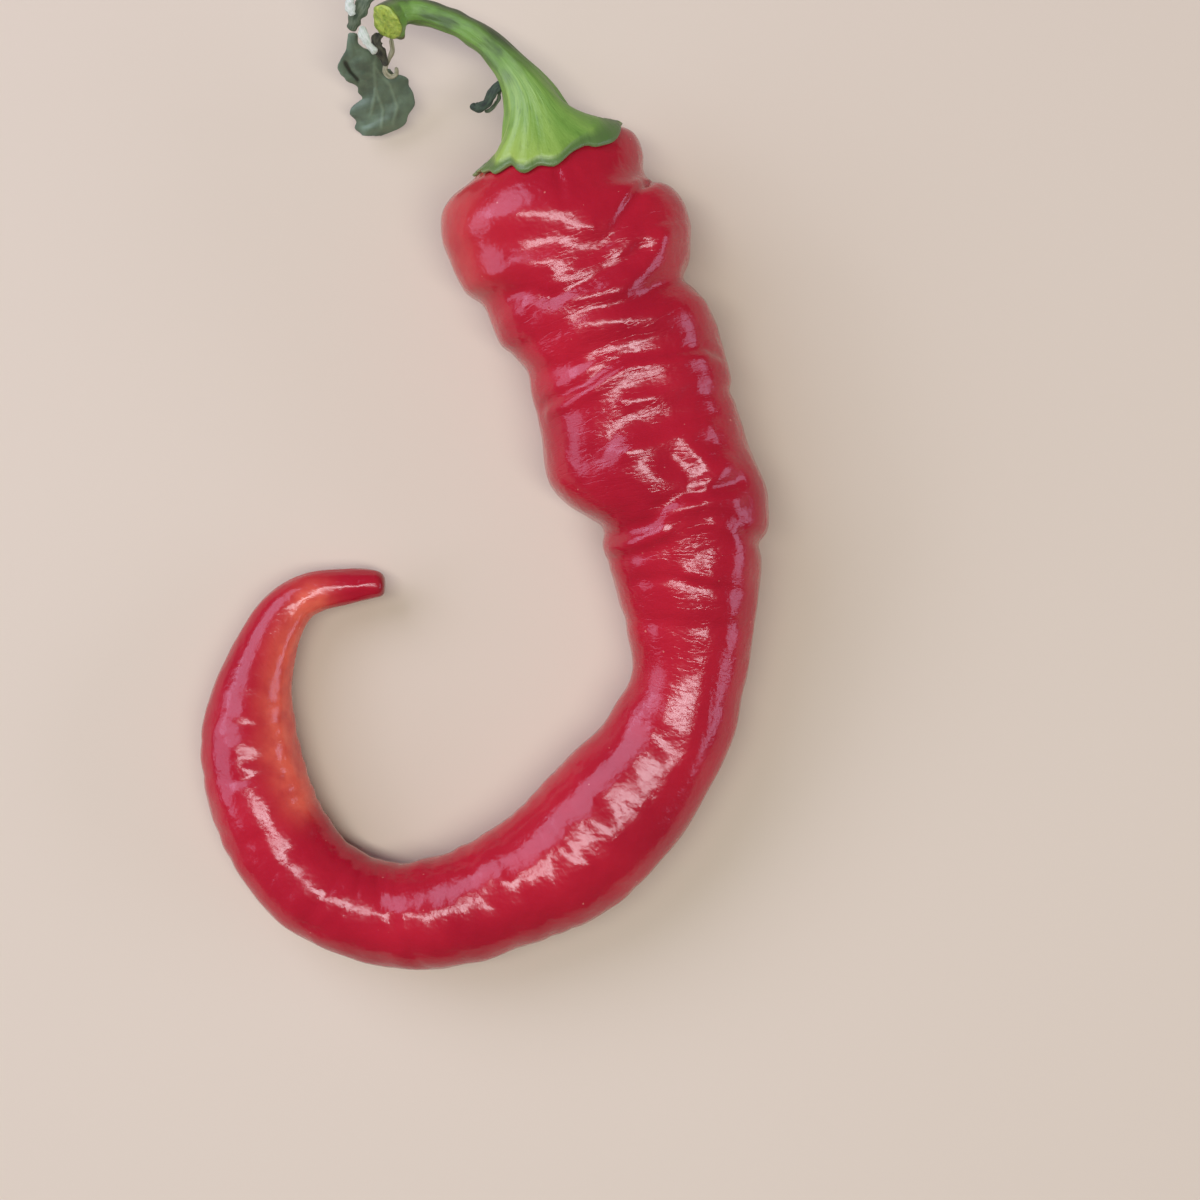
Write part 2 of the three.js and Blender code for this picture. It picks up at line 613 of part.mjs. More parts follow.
function piece(name, geometry, color, roughness) {
  const mesh = new THREE.Mesh(geometry, new THREE.MeshStandardMaterial({ color, roughness, metalness: 0 }));
  mesh.name = name;
  return mesh;
}

const pepper = new THREE.Group();
pepper.add(piece("pod", podGeometry(), 0xb8202c, 0.22));
pepper.add(piece("stem_and_cap", stemGeometry(), 0x7fae48, 0.5));
pepper.add(piece("withered_leaf", leafGeometry(), 0x4f6b4e, 0.7));
for (const [name, strip] of Object.entries(STRIPS))
  pepper.add(piece(name, stripGeometry(strip), strip.colour, strip.roughness));

export default pepper;
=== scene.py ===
import math

import bpy
import numpy as np
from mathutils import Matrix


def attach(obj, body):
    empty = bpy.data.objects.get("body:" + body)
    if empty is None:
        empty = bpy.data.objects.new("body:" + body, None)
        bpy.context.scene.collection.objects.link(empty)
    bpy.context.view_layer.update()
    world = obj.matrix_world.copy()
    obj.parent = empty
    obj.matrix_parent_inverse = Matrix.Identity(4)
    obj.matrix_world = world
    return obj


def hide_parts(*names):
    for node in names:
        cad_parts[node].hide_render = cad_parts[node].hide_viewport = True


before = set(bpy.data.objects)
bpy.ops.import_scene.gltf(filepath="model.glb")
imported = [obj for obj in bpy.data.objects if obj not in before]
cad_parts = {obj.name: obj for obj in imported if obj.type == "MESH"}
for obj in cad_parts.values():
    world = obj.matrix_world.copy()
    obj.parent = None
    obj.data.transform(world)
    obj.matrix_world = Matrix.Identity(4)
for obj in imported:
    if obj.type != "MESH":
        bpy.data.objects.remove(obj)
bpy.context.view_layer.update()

# The pod is one grown piece, a thin red wall with a waxy skin, folded across its upper half and smooth where
# it hooks round to its blunt tip. It is made from a grid that is wrapped round the pod's sections, which are
# in millimetres as the solids are, and its folds are then pushed in one by one, as into clay.
MM = 0.001
# Inner edge x, y, outer edge x, y, thickness, and how high the belly is above the surface.
POD_ROWS = np.array([
    [9.7, 53.3, 9.7, 53.3, 0, 16.4],
    [4, 51.6, 15.6, 55.7, 9.5, 11.3],
    [0, 50.2, 20.4, 57.8, 16.6, 6.3],
    [-3.1, 47.7, 23.4, 57.4, 21.3, 3.3],
    [-5.2, 46, 25, 56, 25, 1],
    [-6.4, 44, 25.9, 53.5, 28, -0.7],
    [-6.6, 41.6, 26, 50.9, 29.5, -1.1],
    [-6.3, 39.2, 27.1, 49.2, 30.3, -1.2],
    [-5.4, 36.6, 30.5, 48, 30.3, -0.9],
    [-4.4, 34.1, 32.6, 45.5, 29.7, -0.5],
    [-2.7, 31.7, 33.4, 42.6, 28.6, 0.1],
    [0.3, 29.2, 33.5, 40.5, 28.4, 0.2],
    [2.7, 23.2, 33.2, 34.4, 27.6, 0.5],
    [5.1, 20.8, 34.3, 31.7, 27.3, 0.6],
    [7.6, 15.2, 38, 25.3, 27.2, 0.4],
    [9.4, 9.3, 39.9, 18.3, 27.4, -0.2],
    [10.3, 2.6, 41.6, 10.1, 27.8, -0.7],
    [11.6, -0.4, 42.9, 6.1, 27.6, -0.7],
    [14, -2.8, 44.4, 2.4, 26.9, -0.3],
    [17.2, -4.8, 45.6, -1.9, 25.8, 0.3],
    [19.1, -7.2, 45.8, -5.9, 24.8, 0.6],
    [19.8, -10.5, 44.7, -9.8, 23.6, 0.9],
    [22, -18, 44.1, -18.9, 21.4, 1.2],
    [24, -26.9, 42.9, -28.8, 19, 1.3],
    [23.7, -30.9, 41.8, -33.5, 18.6, 1.1],
    [21.7, -34.2, 40.4, -40.2, 18.8, 0.7],
    [18.8, -38.6, 36.3, -48.8, 19.4, 0.1],
    [14.2, -42.8, 31, -57.4, 20, -0.3],
    [9.6, -47.8, 23.6, -65.3, 20, -0.2],
    [4.5, -53.1, 15.6, -70.7, 19.2, 0.3],
    [-1.2, -56.9, 6.1, -74.2, 18.2, 0.6],
    [-6.6, -59.4, -2.8, -77, 17.4, 0.8],
    [-13.4, -60.8, -12.7, -77.9, 16.6, 0.8],
    [-17.6, -60, -22.9, -75.8, 16.2, 0.6],
    [-22.2, -57.5, -32.1, -71, 16, 0.3],
    [-25.8, -53, -38.7, -63.7, 15.8, 0],
    [-28.3, -47.8, -43.7, -54, 15.6, -0.3],
    [-30.1, -42.5, -45.6, -45, 14.8, -0.3],
    [-31.1, -37.9, -45.8, -38.9, 13.8, -0.1],
    [-31.5, -32.7, -43.6, -30.6, 11.8, 0.5],
    [-30.6, -25.9, -39.8, -22.6, 9.4, 1.4],
    [-28.7, -21.6, -35.5, -16.9, 8, 2],
    [-26.7, -20.1, -29.6, -13.6, 7, 2.5],
    [-22.2, -18.9, -22.9, -12.8, 6.1, 3.1],
    [-18.2, -17.9, -18.6, -13, 5.4, 3.5],
    [-16.6, -17.2, -16.6, -13.9, 3.8, 4.3],
    [-16.3, -15.7, -16.3, -15.7, 0, 6.2],
])
# How far the skin rises at each line's start and end (a crease is below 0), how wide it is on the line's left
# and right, and the points that the line runs by, seen from above.
FOLDS = [
    # The deep tuck under the crown on the outer side, and the broad waist that it fades into.
    ((-1.1, -0.1), (1.3, 0.6),
     [(26, 47.7), (24.7, 46.1), (23.5, 44.1), (21.9, 41.4), (20.5, 38.9), (18.8, 36.8)]),
    ((-0.7, -0.35), (2.6, 2.6), [(18.8, 36.5), (14.1, 37.1), (8.7, 38), (3.2, 37.4), (-2.2, 35.5)]),
    # A short seam down the crown from the cap.
    ((-0.5, -0.15), (0.7, 0.7), [(12, 48.6), (12.7, 46.4), (13, 43.6)]),
    # The slanting folds of the shoulder.
    ((0.35, 0.55), (2, 2),
     [(-1.4, 31.5), (2.5, 32.3), (7.1, 33.7), (10.7, 34.6), (14.9, 37.3), (17.2, 39.3)]),
    ((-0.35, -0.6), (1.1, 1.1),
     [(5.6, 29.8), (8.7, 30.1), (11.3, 29), (14.1, 30.1), (16.9, 31.2), (19.6, 32.9), (22.7, 34.5),
      (25, 36.7)]),
    ((1, 0.5), (2.1, 1.9),
     [(28.1, 38.3), (27.4, 35.7), (25, 33.1), (21.9, 30.3), (18.8, 29), (14.1, 27.8)]),
    ((-0.9, -0.3), (1.5, 1.5),
     [(33.2, 33.9), (30.1, 32.1), (27.4, 30.5), (25.1, 28.6), (20.4, 27.7), (14.9, 27.1),
      (10.2, 28.9)]),
    ((0.55, 0.55), (2.3, 2.3),
     [(34.4, 28.8), (29.7, 27.3), (26.6, 26.5), (21.9, 25.4), (17.2, 24.4), (15.4, 23.2)]),
    ((0.3, 0.35), (1.4, 1.4), [(4.7, 26.1), (7.1, 27.4)]),
    # The folds above and below the long thin crease across the middle.
    ((-0.55, -0.75), (2.2, 2.2),
     [(37.5, 23.4), (32.8, 22.9), (26.6, 22.3), (20.4, 21), (15.7, 19.1), (10.2, 17.6), (6.3, 18.2)]),
    ((-0.5, -0.5), (1, 1),
     [(10.2, 12.8), (13.4, 14.2), (16.5, 15.8), (18.8, 17.3), (22.7, 19.7), (26.6, 20.1), (31.3, 20.8),
      (35.1, 21.5), (37.8, 20.9)]),
    ((0.4, 0.35), (1.1, 1.1),
     [(11.5, 11.9), (14.6, 13.1), (18, 14.7), (20.4, 16.6), (23.5, 18.6), (26.9, 19), (31.3, 19.7),
      (35.1, 20.3)]),
    ((0.35, 0.25), (1.1, 1.1), [(22.7, 12.7), (25.8, 13.4), (30, 13.7)]),
    ((-0.6, -0.2), (1.2, 1.2), [(40.8, 15.7), (37.6, 14.6), (34.5, 14.3), (30.1, 13.4)]),
    ((-0.65, -0.5), (3, 2.6),
     [(18.8, 5), (21.1, 7.5), (25, 8.5), (28.9, 9.4), (32.8, 10.8), (36.7, 11.6)]),
    # The knot of small humps and dimples over the widest bulge.
    ((0.5, 0.5), (1.5, 1.5), [(22.7, 5), (25, 5.9), (28.9, 6.8), (31.2, 8.1), (35.1, 9)]),
    ((0.65, 0.65), (4, 4), [(23.7, 4.6), (26.2, 1.4)]),
    ((-0.7, -0.6), (2.4, 2.4), [(30.3, 3.4), (32.8, 1.3)]),
    ((0.45, 0.45), (1.6, 1.6), [(32.8, 5.8), (35.6, 3.5)]),
    ((0.5, 0.5), (1.5, 1.5), [(38.4, 3.1), (36.3, 0.8), (35.1, -0.3)]),
    ((-0.5, -0.5), (1.1, 1.1),
     [(39.9, 0.4), (37.8, -0.4), (35.2, -1.1), (32.8, -1.5), (30.5, -2.4), (28.2, -3.6)]),
    ((0.45, 0.45), (1.2, 1.2),
     [(39.6, -2.4), (37.5, -2.1), (34.4, -2.9), (32.8, -3.3), (29.4, -4.3), (28.8, -6.8)]),
    # The sharp narrowing below the bulge, on both flanks.
    ((-0.8, -0.35), (1.7, 1.2), [(18.8, -6.7), (21.9, -7.8), (25.1, -6.7), (28.2, -5.2)]),
    ((0.35, 0.3), (1.1, 1.1), [(21.6, -9.6), (25.1, -8.6), (29.4, -7.4)]),
    ((-0.3, -0.3), (1.1, 1.1), [(20.7, -11.7), (25.1, -10.8), (29, -9.6)]),
    ((-0.8, -0.2), (1.3, 1.3), [(45.3, -9.3), (41.7, -7.4), (38.6, -5.4), (34.6, -4.7)]),
    ((0.3, 0.3), (1, 1), [(36.4, -5.9), (39.7, -6.6)]),
    ((0.35, 0.35), (1.1, 1.1), [(32.6, -13.8), (36.4, -14.9)]),
    ((-0.3, -0.3), (1.1, 1.1), [(25.1, -14.9), (29.8, -14.5), (34.5, -15.5), (40, -16.7)]),
    ((-0.3, -0.3), (1.5, 1.5), [(22, -21.2), (28.3, -21.5), (34.6, -22.4), (40.9, -21.9)]),
    ((-0.4, -0.4), (2.4, 2.4), [(26, -38.2), (29.6, -41.1)]),
]
POD_SIDES = 168
POD_RINGS = 560
# The folds are full on the upper side and fade out between these heights on the round: 1 is the top.
FOLDS_FADE = (-0.8, 0)
# The widest bulge, where the skin is drawn smooth: its middle x, y, how far that reaches, and by how much.
SMOOTH_BULGE = (22, 4.5)
BULGE_REACH = 8
BULGE_CALM = 0.7
# The skin is calmer on the inner side of the bend as well: by how much, and from where to where round it.
INNER_CALM = 0.6
INNER_SIDE = (0.1, 0.8)
# Where each stretch starts and ends, in millimetres down the skin from the middle of the crown. The folds
# start higher on the outer side than on the inner, by this lean.
CROWN_SMOOTH_TO = (8, 24)
FOLDED_FROM, FOLDED_TO = (30, 44), (84, 112)
FOLDED_LEAN = 9
FLAT_FROM = (14, 34)
HOOKED_FROM, HOOKED_TO = (118, 145), (214, 232)
# The folded half is flatter on top than round: its shoulders stand out by this much.
FLAT_TOP = 0.8
# The seeded relief of the wall: the stretch that it is on, its height under the belly, how much less it is on
# top, its slant, its cells down and round the pod, its seed, and whether it is drawn up into ridges.
RELIEF = [
    ("folded", 0.5, 0.32, 0.3, (64, 12), 3, True),
    ("folded", 0.17, 0.12, -0.4, (150, 22), 4, False),
    ("folded", 0.3, 0.08, 0.5, (76, 17), 9, False),
    ("folded", 0.01, 0, 0, (300, 44), 5, False),
    ("below_crown", 0.22, 0, 0, (20, 5), 6, False),
    ("everywhere", 0.05, 0, 0, (70, 18), 8, False),
    ("everywhere", 0.035, 0, 0, (130, 36), 11, False),
    ("hooked", 0.2, 0, 0.2, (120, 9), 7, True),
    ("hooked", 0.06, 0, 0, (210, 14), 10, False),
]
RIDGE_FOOT = 0.3
# Folds and relief fade out from the second to the first of these numbers of sections before either end.
ENDS_CLOSE = (0.4, 2.5)


def ease(value, start, end):
    """A smooth step from 0 at start to 1 at end."""
    t = np.clip((value - start) / (end - start), 0, 1)
    return t * t * (3 - 2 * t)


def row_at(rows, place):
    """A row of numbers between the rows of a table, on one smooth curve through all of them."""
    place = np.asarray(place, float)
    last = len(rows) - 1
    here = np.clip(np.floor(place).astype(int), 0, last - 1)
    t = (place - here)[..., None]
    start, end = rows[here], rows[here + 1]
    slope = (end - rows[np.maximum(here - 1, 0)]) / 2
    next_slope = (rows[np.minimum(here + 2, last)] - start) / 2
    gap = end - start
    return start + t * (slope + t * (3 * gap - 2 * slope - next_slope + t * (slope + next_slope - 2 * gap)))


def pod_form(place, turn):
    """The pod before its folds. A turn of 0 is the outer edge, and a quarter turn is the top."""
    row = row_at(POD_ROWS, place)
    inner, outer, thick, lift = row[..., 0:2], row[..., 2:4], row[..., 4], row[..., 5]
    flat = (inner + outer + (outer - inner) * np.cos(turn)[..., None]) / 2
    height = lift + thick / 2 * (1 + np.sin(turn))
    return np.concatenate([flat, height[..., None]], -1)


def unit(vectors):
    """The same directions, each one long."""
    return vectors / np.maximum(np.linalg.norm(vectors, axis=-1, keepdims=True), 1e-9)


def pod_normal(place, turn):
    """Which way the skin faces, taken a little inside the very ends, where it has no size."""
    small, inside = 0.01, 0.05
    place = np.clip(place, inside, len(POD_ROWS) - 1 - inside)
    round_it = pod_form(place, turn + small) - pod_form(place, turn - small)
    down_it = pod_form(place + small, turn) - pod_form(place - small, turn)
    return unit(np.cross(round_it, down_it))


def fold_rise(fold, x, y):
    """How far one fold lifts or sinks the skin at x, y."""
    rise, wide, line = fold
    line = np.array(line, float)
    near = np.full(x.shape, np.inf)
    share = np.zeros(x.shape)
    across = np.ones(x.shape)
    for k in range(len(line) - 1):
        run = line[k + 1] - line[k]
        t = np.clip(((x - line[k, 0]) * run[0] + (y - line[k, 1]) * run[1]) / (run @ run), 0, 1)
        dx, dy = x - line[k, 0] - t * run[0], y - line[k, 1] - t * run[1]
        away = np.hypot(dx, dy)
        closer = away < near
        near = np.where(closer, away, near)
        share = np.where(closer, (k + t) / (len(line) - 1), share)
        across = np.where(closer, np.where(run[0] * dy > run[1] * dx, wide[0], wide[1]), across)
    return (rise[0] + (rise[1] - rise[0]) * share) * np.exp(-((near / across) ** 2))


def crumple(down, around, cells, seed):
    """Smooth random heights, about -1 to 1, that meet where the skin closes round on itself."""
    spline_gain = 2.2
    lattice = np.random.default_rng(seed).uniform(-1, 1, (cells[0] + 4, cells[1]))
    x, y = down * cells[0], around * cells[1]
    i, j = np.clip(np.floor(x).astype(int), 0, cells[0]), np.floor(y).astype(int)

    def weights(t):
        nearer, farther = 3 * t**3 - 6 * t**2 + 4, -3 * t**3 + 3 * t**2 + 3 * t + 1
        return ((1 - t) ** 3 / 6, nearer / 6, farther / 6, t**3 / 6)

    total = 0
    for a, across in enumerate(weights(x - i)):
        for b, along in enumerate(weights(y - j)):
            total = total + across * along * lattice[i + a, (j + b) % cells[1]]
    return spline_gain * total


def pod_lengths():
    """The places of closely set sections, and how far each is down the skin from the crown."""
    sections = 4000
    place = np.linspace(0, len(POD_ROWS) - 1, sections)
    inner, outer = pod_form(place, np.full(sections, np.pi)), pod_form(place, np.zeros(sections))
    middle, radius = (inner + outer) / 2, np.linalg.norm(outer - inner, axis=1) / 2
    step = np.hypot(np.linalg.norm(np.diff(middle, axis=0), axis=1), np.diff(radius))
    return place, np.concatenate([[0], np.cumsum(step)])


POD_PLACES, POD_GONE = pod_lengths()
POD_LENGTH = POD_GONE[-1]


def pod_point(place, turn, off=0.0):
    """A point of the finished skin, or one at a distance off it."""
    point = pod_form(place, turn)
    x, y = point[..., 0], point[..., 1]
    gone = np.interp(place, POD_PLACES, POD_GONE)
    down = gone / POD_LENGTH
    around = turn / (2 * np.pi)
    seen = ease(np.sin(turn), *FOLDS_FADE)
    folded = ease(gone + FOLDED_LEAN * np.cos(turn), *FOLDED_FROM) * (1 - ease(gone, *FOLDED_TO))
    hooked = ease(gone, *HOOKED_FROM) * (1 - ease(gone, *HOOKED_TO))
    calm = 1 - INNER_CALM * ease(-np.cos(turn), *INNER_SIDE)
    from_bulge = np.hypot(x - SMOOTH_BULGE[0], y - SMOOTH_BULGE[1])
    calm = calm * (1 - BULGE_CALM * seen * np.exp(-((from_bulge / BULGE_REACH) ** 2)))
    stretches = {
        "folded": folded * calm,
        "below_crown": ease(gone, *CROWN_SMOOTH_TO),
        "everywhere": 1,
        "hooked": hooked,
    }
    rise = sum(fold_rise(fold, x, y) for fold in FOLDS) * seen
    flat_stretch = ease(gone, *FLAT_FROM) * (1 - ease(gone, *FOLDED_TO))
    rise += FLAT_TOP * seen * flat_stretch * (1 - np.cos(4 * turn)) / 2
    for stretch, high, less_on_top, slant, cells, seed, ridged in RELIEF:
        swell = crumple(down, around + slant * down, cells, seed)
        if ridged:
            swell = np.abs(swell) - RIDGE_FOOT
        rise += stretches[stretch] * (high - less_on_top * seen) * swell
    ends = ease(place, *ENDS_CLOSE) * ease(len(POD_ROWS) - 1 - place, *ENDS_CLOSE)
    point = point + pod_normal(place, turn) * (rise * ends + off)[..., None]
    point[..., 2] = np.maximum(point[..., 2], 0)
    return point


def laid_grid(name, points, cells_across, marks):
    """A flat grid with its vertices moved to their points, and each point's marks. Where a row of points is
    one short of the grid's, the row closes on itself."""
    bpy.ops.object.select_all(action="DESELECT")
    rows = len(points) - 1
    bpy.ops.mesh.primitive_grid_add(x_subdivisions=rows, y_subdivisions=cells_across, size=1, calc_uvs=True)
    piece = bpy.context.object
    piece.name = piece.data.name = name
    flat = np.empty(len(piece.data.vertices) * 3)
    piece.data.vertices.foreach_get("co", flat)
    flat = flat.reshape(-1, 3)
    row = np.rint((flat[:, 0] + 0.5) * rows).astype(int)
    column = np.rint((flat[:, 1] + 0.5) * cells_across).astype(int) % points.shape[1]
    piece.data.vertices.foreach_set("co", (points[row, column] * MM).ravel())
    for mark, values in marks.items():
        layer = piece.data.attributes.new(mark, "FLOAT", "POINT")
        layer.data.foreach_set("value", values[row, column].astype(float))
    return piece


def wrap(name, rings, marks=None):
    """A closed piece: the grid's rows go round the rings, and its seam and its ends are merged."""
    piece = laid_grid(name, rings, rings.shape[1], marks or {})
    bpy.ops.object.mode_set(mode="EDIT")
    bpy.ops.mesh.select_all(action="SELECT")
    bpy.ops.mesh.remove_doubles(threshold=1e-6)
    bpy.ops.mesh.normals_make_consistent(inside=False)
    bpy.ops.object.mode_set(mode="OBJECT")
    bpy.ops.object.shade_smooth()
    return piece


def near_line(points, line):
    """How far each point is, seen from above, from a line."""
    x, y = points[..., 0], points[..., 1]
    near = np.full(x.shape, np.inf)
    line = np.array(line, float)
    for start, end in zip(line[:-1], line[1:]):
        run = end - start
        t = np.clip(((x - start[0]) * run[0] + (y - start[1]) * run[1]) / (run @ run), 0, 1)
        near = np.minimum(near, np.hypot(x - start[0] - t * run[0], y - start[1] - t * run[1]))
    return near


# The paler stripes: how strong, how far it fades to each side, and its line. The first runs down the hook
# where the skin still ripens; the second is painted light, an orange lit patch on the crown's inner edge.
PALE_STRIPES = [
    (0.95, 3, [(-28, -18), (-31.5, -26), (-33, -34), (-32.5, -42), (-29, -50)]),
    # Painted light: the crown's inner edge is made more orange where the light falls on it.
    (0.16, 6, [(-4, 43), (-5, 38), (-3, 33)]),
]
PALE_ON_TOP = (-0.9, 0.2)
# The tip starts to be brown at the first of these distances from its end, and is all brown at the second.
TIP_BROWN = (3.5, 0.5)
# The skin is finely creased below the crown, and less so from the middle of the pod on.
CREASED_FROM, CREASED_TO = (24, 40), (95, 125)
CREASED_ON_HOOK = 0.3

ring_place = np.interp(np.linspace(0, POD_LENGTH, POD_RINGS + 1), POD_GONE, POD_PLACES)
side_turn = np.linspace(0, 2 * np.pi, POD_SIDES, endpoint=False)
place, turn = np.meshgrid(ring_place, side_turn, indexing="ij")
pod_rings = pod_point(place, turn)
pale = np.zeros(place.shape)
for strong, wide, line in PALE_STRIPES:
    pale += strong * np.exp(-((near_line(pod_rings, line) / wide) ** 2))
pale *= ease(np.sin(turn), *PALE_ON_TOP)
gone = np.interp(place, POD_PLACES, POD_GONE)
tip = ease(gone, *(POD_LENGTH - np.array(TIP_BROWN)))
gathered = ease(gone + FOLDED_LEAN * np.cos(turn), *CREASED_FROM)
gathered = gathered * (1 - (1 - CREASED_ON_HOOK) * ease(gone, *CREASED_TO))
pod = wrap("pod_skin", pod_rings, {"pale": pale, "tip": tip, "gathered": gathered})


def new_material(name, colour, roughness):
    """A plain finish to build on: its nodes, its links and its main shader."""
    material = bpy.data.materials.new(name)
    material.use_nodes = True
    nodes, links = material.node_tree.nodes, material.node_tree.links
    shader = nodes["Principled BSDF"]
    shader.inputs["Base Color"].default_value = (*colour, 1)
    shader.inputs["Roughness"].default_value = roughness
    return material, nodes, links, shader


def add_noise(nodes, links, scale, detail=3.0, stretch=(1, 1, 1), source="Object"):
    """Noise on a piece's own coordinates, stretched where its cells should be long."""
    coordinates = nodes.new("ShaderNodeTexCoord")
    mapping = nodes.new("ShaderNodeMapping")
    mapping.inputs["Scale"].default_value = stretch
    noise = nodes.new("ShaderNodeTexNoise")
    noise.inputs["Scale"].default_value = scale
    noise.inputs["Detail"].default_value = detail
    links.new(coordinates.outputs[source], mapping.inputs["Vector"])
    links.new(mapping.outputs["Vector"], noise.inputs["Vector"])
    return noise.outputs["Fac"]


def spread(nodes, links, value, low, high, to_low=0.0, to_high=1.0):
    """A value spread from one range to another, and held inside it."""
    span = nodes.new("ShaderNodeMapRange")
    for socket, number in zip(("From Min", "From Max", "To Min", "To Max"), (low, high, to_low, to_high)):
        span.inputs[socket].default_value = number
    links.new(value, span.inputs["Value"])
    return span.outputs["Result"]


def mix_in(nodes, links, under, over, amount):
    """One colour laid over another by an amount."""
    mix = nodes.new("ShaderNodeMix")
    mix.data_type = "RGBA"
    for socket, colour in ((6, under), (7, over)):
        if isinstance(colour, tuple):
            mix.inputs[socket].default_value = (*colour, 1)
        else:
            links.new(colour, mix.inputs[socket])
    links.new(amount, mix.inputs[0])
    return mix.outputs[2]


def add_bumps(nodes, links, shader, heights):
    """Small relief: each height is a value and how far it stands, in metres."""
    normal = None
    for value, depth in heights:
        bump = nodes.new("ShaderNodeBump")
        bump.inputs["Distance"].default_value = depth
        links.new(value, bump.inputs["Height"])
        if normal is not None:
            links.new(normal, bump.inputs["Normal"])
        normal = bump.outputs["Normal"]
    links.new(normal, shader.inputs["Normal"])


def times(nodes, links, first, second):
    """One value multiplied by another."""
    product = nodes.new("ShaderNodeMath")
    product.operation = "MULTIPLY"
    links.new(first, product.inputs[0])
    links.new(second, product.inputs[1])
    return product.outputs["Value"]


def add_creases(nodes, links, stretch, wide):
    """Thin sunken lines that wander over a piece's own unrolled surface: 0 in a line and 1 beside it."""
    away = nodes.new("ShaderNodeMath")
    away.operation = "SUBTRACT"
    links.new(add_noise(nodes, links, 1, 3, stretch, "UV"), away.inputs[0])
    away.inputs[1].default_value = 0.5
    distance = nodes.new("ShaderNodeMath")
    distance.operation = "ABSOLUTE"
    links.new(away.outputs["Value"], distance.inputs[0])
    return spread(nodes, links, distance.outputs["Value"], 0, wide)


def mark_of(nodes, name):
    """One of the marks that a piece keeps at its points."""
    mark = nodes.new("ShaderNodeAttribute")
    mark.attribute_name = name
    return mark.outputs["Fac"]


MEAN_RED = (0.42, 0.008, 0.016)
DEEP_RED = (0.35, 0.007, 0.02)
LIT_RED = (0.46, 0.012, 0.027)
RIPENING_AND_LIT_ORANGE = (0.75, 0.14, 0.075)
DRIED_BROWN = (0.16, 0.03, 0.025)
PALE_FLECK = (0.8, 0.35, 0.25)
SKIN_ROUGHNESS = (0.15, 0.24)
# How far the skin's finest relief stands, in metres.
FINE_CREASES = 2e-5
FINE_PLEATS = 2e-5
DENTS = 1.8e-4
PEBBLES = 2e-5


def waxy_red_skin():
    """Red flesh under a clear waxy skin, orange in a stripe where it still ripens and in a painted lit patch
    on the crown, and brown at the tip.
    """
    material, nodes, links, shader = new_material("waxy_red_skin", MEAN_RED, 0.22)
    clouds = spread(nodes, links, add_noise(nodes, links, 60, 4), 0.3, 0.7)
    colour = mix_in(nodes, links, DEEP_RED, LIT_RED, clouds)
    mottled = spread(nodes, links, add_noise(nodes, links, 330, 3), 0.3, 0.6, 0.55, 1)
    # Orange where the skin still ripens, and as painted light on the crown's inner edge.
    ripening_and_lit = times(nodes, links, mark_of(nodes, "pale"), mottled)
    colour = mix_in(nodes, links, colour, RIPENING_AND_LIT_ORANGE, ripening_and_lit)
    dried = spread(nodes, links, mark_of(nodes, "tip"), 0, 1, 0, 0.7)
    colour = mix_in(nodes, links, colour, DRIED_BROWN, dried)
    flecks = spread(nodes, links, add_noise(nodes, links, 900, 1), 0.79, 0.8, 0, 0.4)
    colour = mix_in(nodes, links, colour, PALE_FLECK, flecks)
    links.new(colour, shader.inputs["Base Color"])
    rubbed = spread(nodes, links, add_noise(nodes, links, 240, 4), 0.3, 0.7, *SKIN_ROUGHNESS)
    links.new(rubbed, shader.inputs["Roughness"])
    shader.inputs["IOR"].default_value = 1.41
    shader.inputs["Coat Weight"].default_value = 0.1
    shader.inputs["Coat Roughness"].default_value = 0.08
    shader.inputs["Subsurface Weight"].default_value = 0.08
    shader.inputs["Subsurface Radius"].default_value = (1, 0.2, 0.1)
    shader.inputs["Subsurface Scale"].default_value = 0.003
    pebbles = add_noise(nodes, links, 1100, 2)
    pleats = spread(nodes, links, add_noise(nodes, links, 1, 4, (300, 30, 1), "UV"), 0.3, 0.7)
    creases = add_creases(nodes, links, (150, 14, 1), 0.045)
    gathered = mark_of(nodes, "gathered")
    pleats, creases = times(nodes, links, pleats, gathered), times(nodes, links, creases, gathered)
    dents = add_noise(nodes, links, 420, 2)
    heights = [(creases, FINE_CREASES), (pleats, FINE_PLEATS), (dents, DENTS), (pebbles, PEBBLES)]
    add_bumps(nodes, links, shader, heights)
    return material


pod.data.materials.append(waxy_red_skin())
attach(pod, "root")
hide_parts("pod")

# The cap and the stem grew as one green piece: a toothed cap that sits over the crown, drawn up into a
# ribbed funnel and an arched stem that ends in a rough face where it tore off. It is wrapped from rings too.
# The stem's middle x, y, z and its radius.
STEM_ROWS = np.array([
    [9.8, 54.2, 19.2, 6.9],
    [9.6, 55.4, 19.7, 6.5],
    [9, 57.6, 20.4, 5.8],
    [8.1, 60.2, 21.1, 4.8],
    [6.5, 63.2, 21.8, 3.6],
    [4.5, 65.9, 22.2, 2.7],
    [1.8, 68.8, 22.5, 2.2],
    [-1.1, 71, 22.6, 2],
    [-4.4, 72.8, 22.5, 1.95],
    [-7.8, 74.1, 22.2, 2],
    [-10.8, 74.6, 22, 2.15],
    [-13.1, 74, 22.5, 2.5],
    [-14.5, 72.6, 23.8, 2.7],
])
# The cap's rim, as a number of the pod's sections from the crown: at the flanks, and how much further it
# reaches over the top and under the belly.
RIM_AT_FLANKS = 1.9
RIM_OVER_TOP = 2.75
RIM_OVER_TOP_BEND = 2.4
RIM_UNDER_BELLY = 0.2
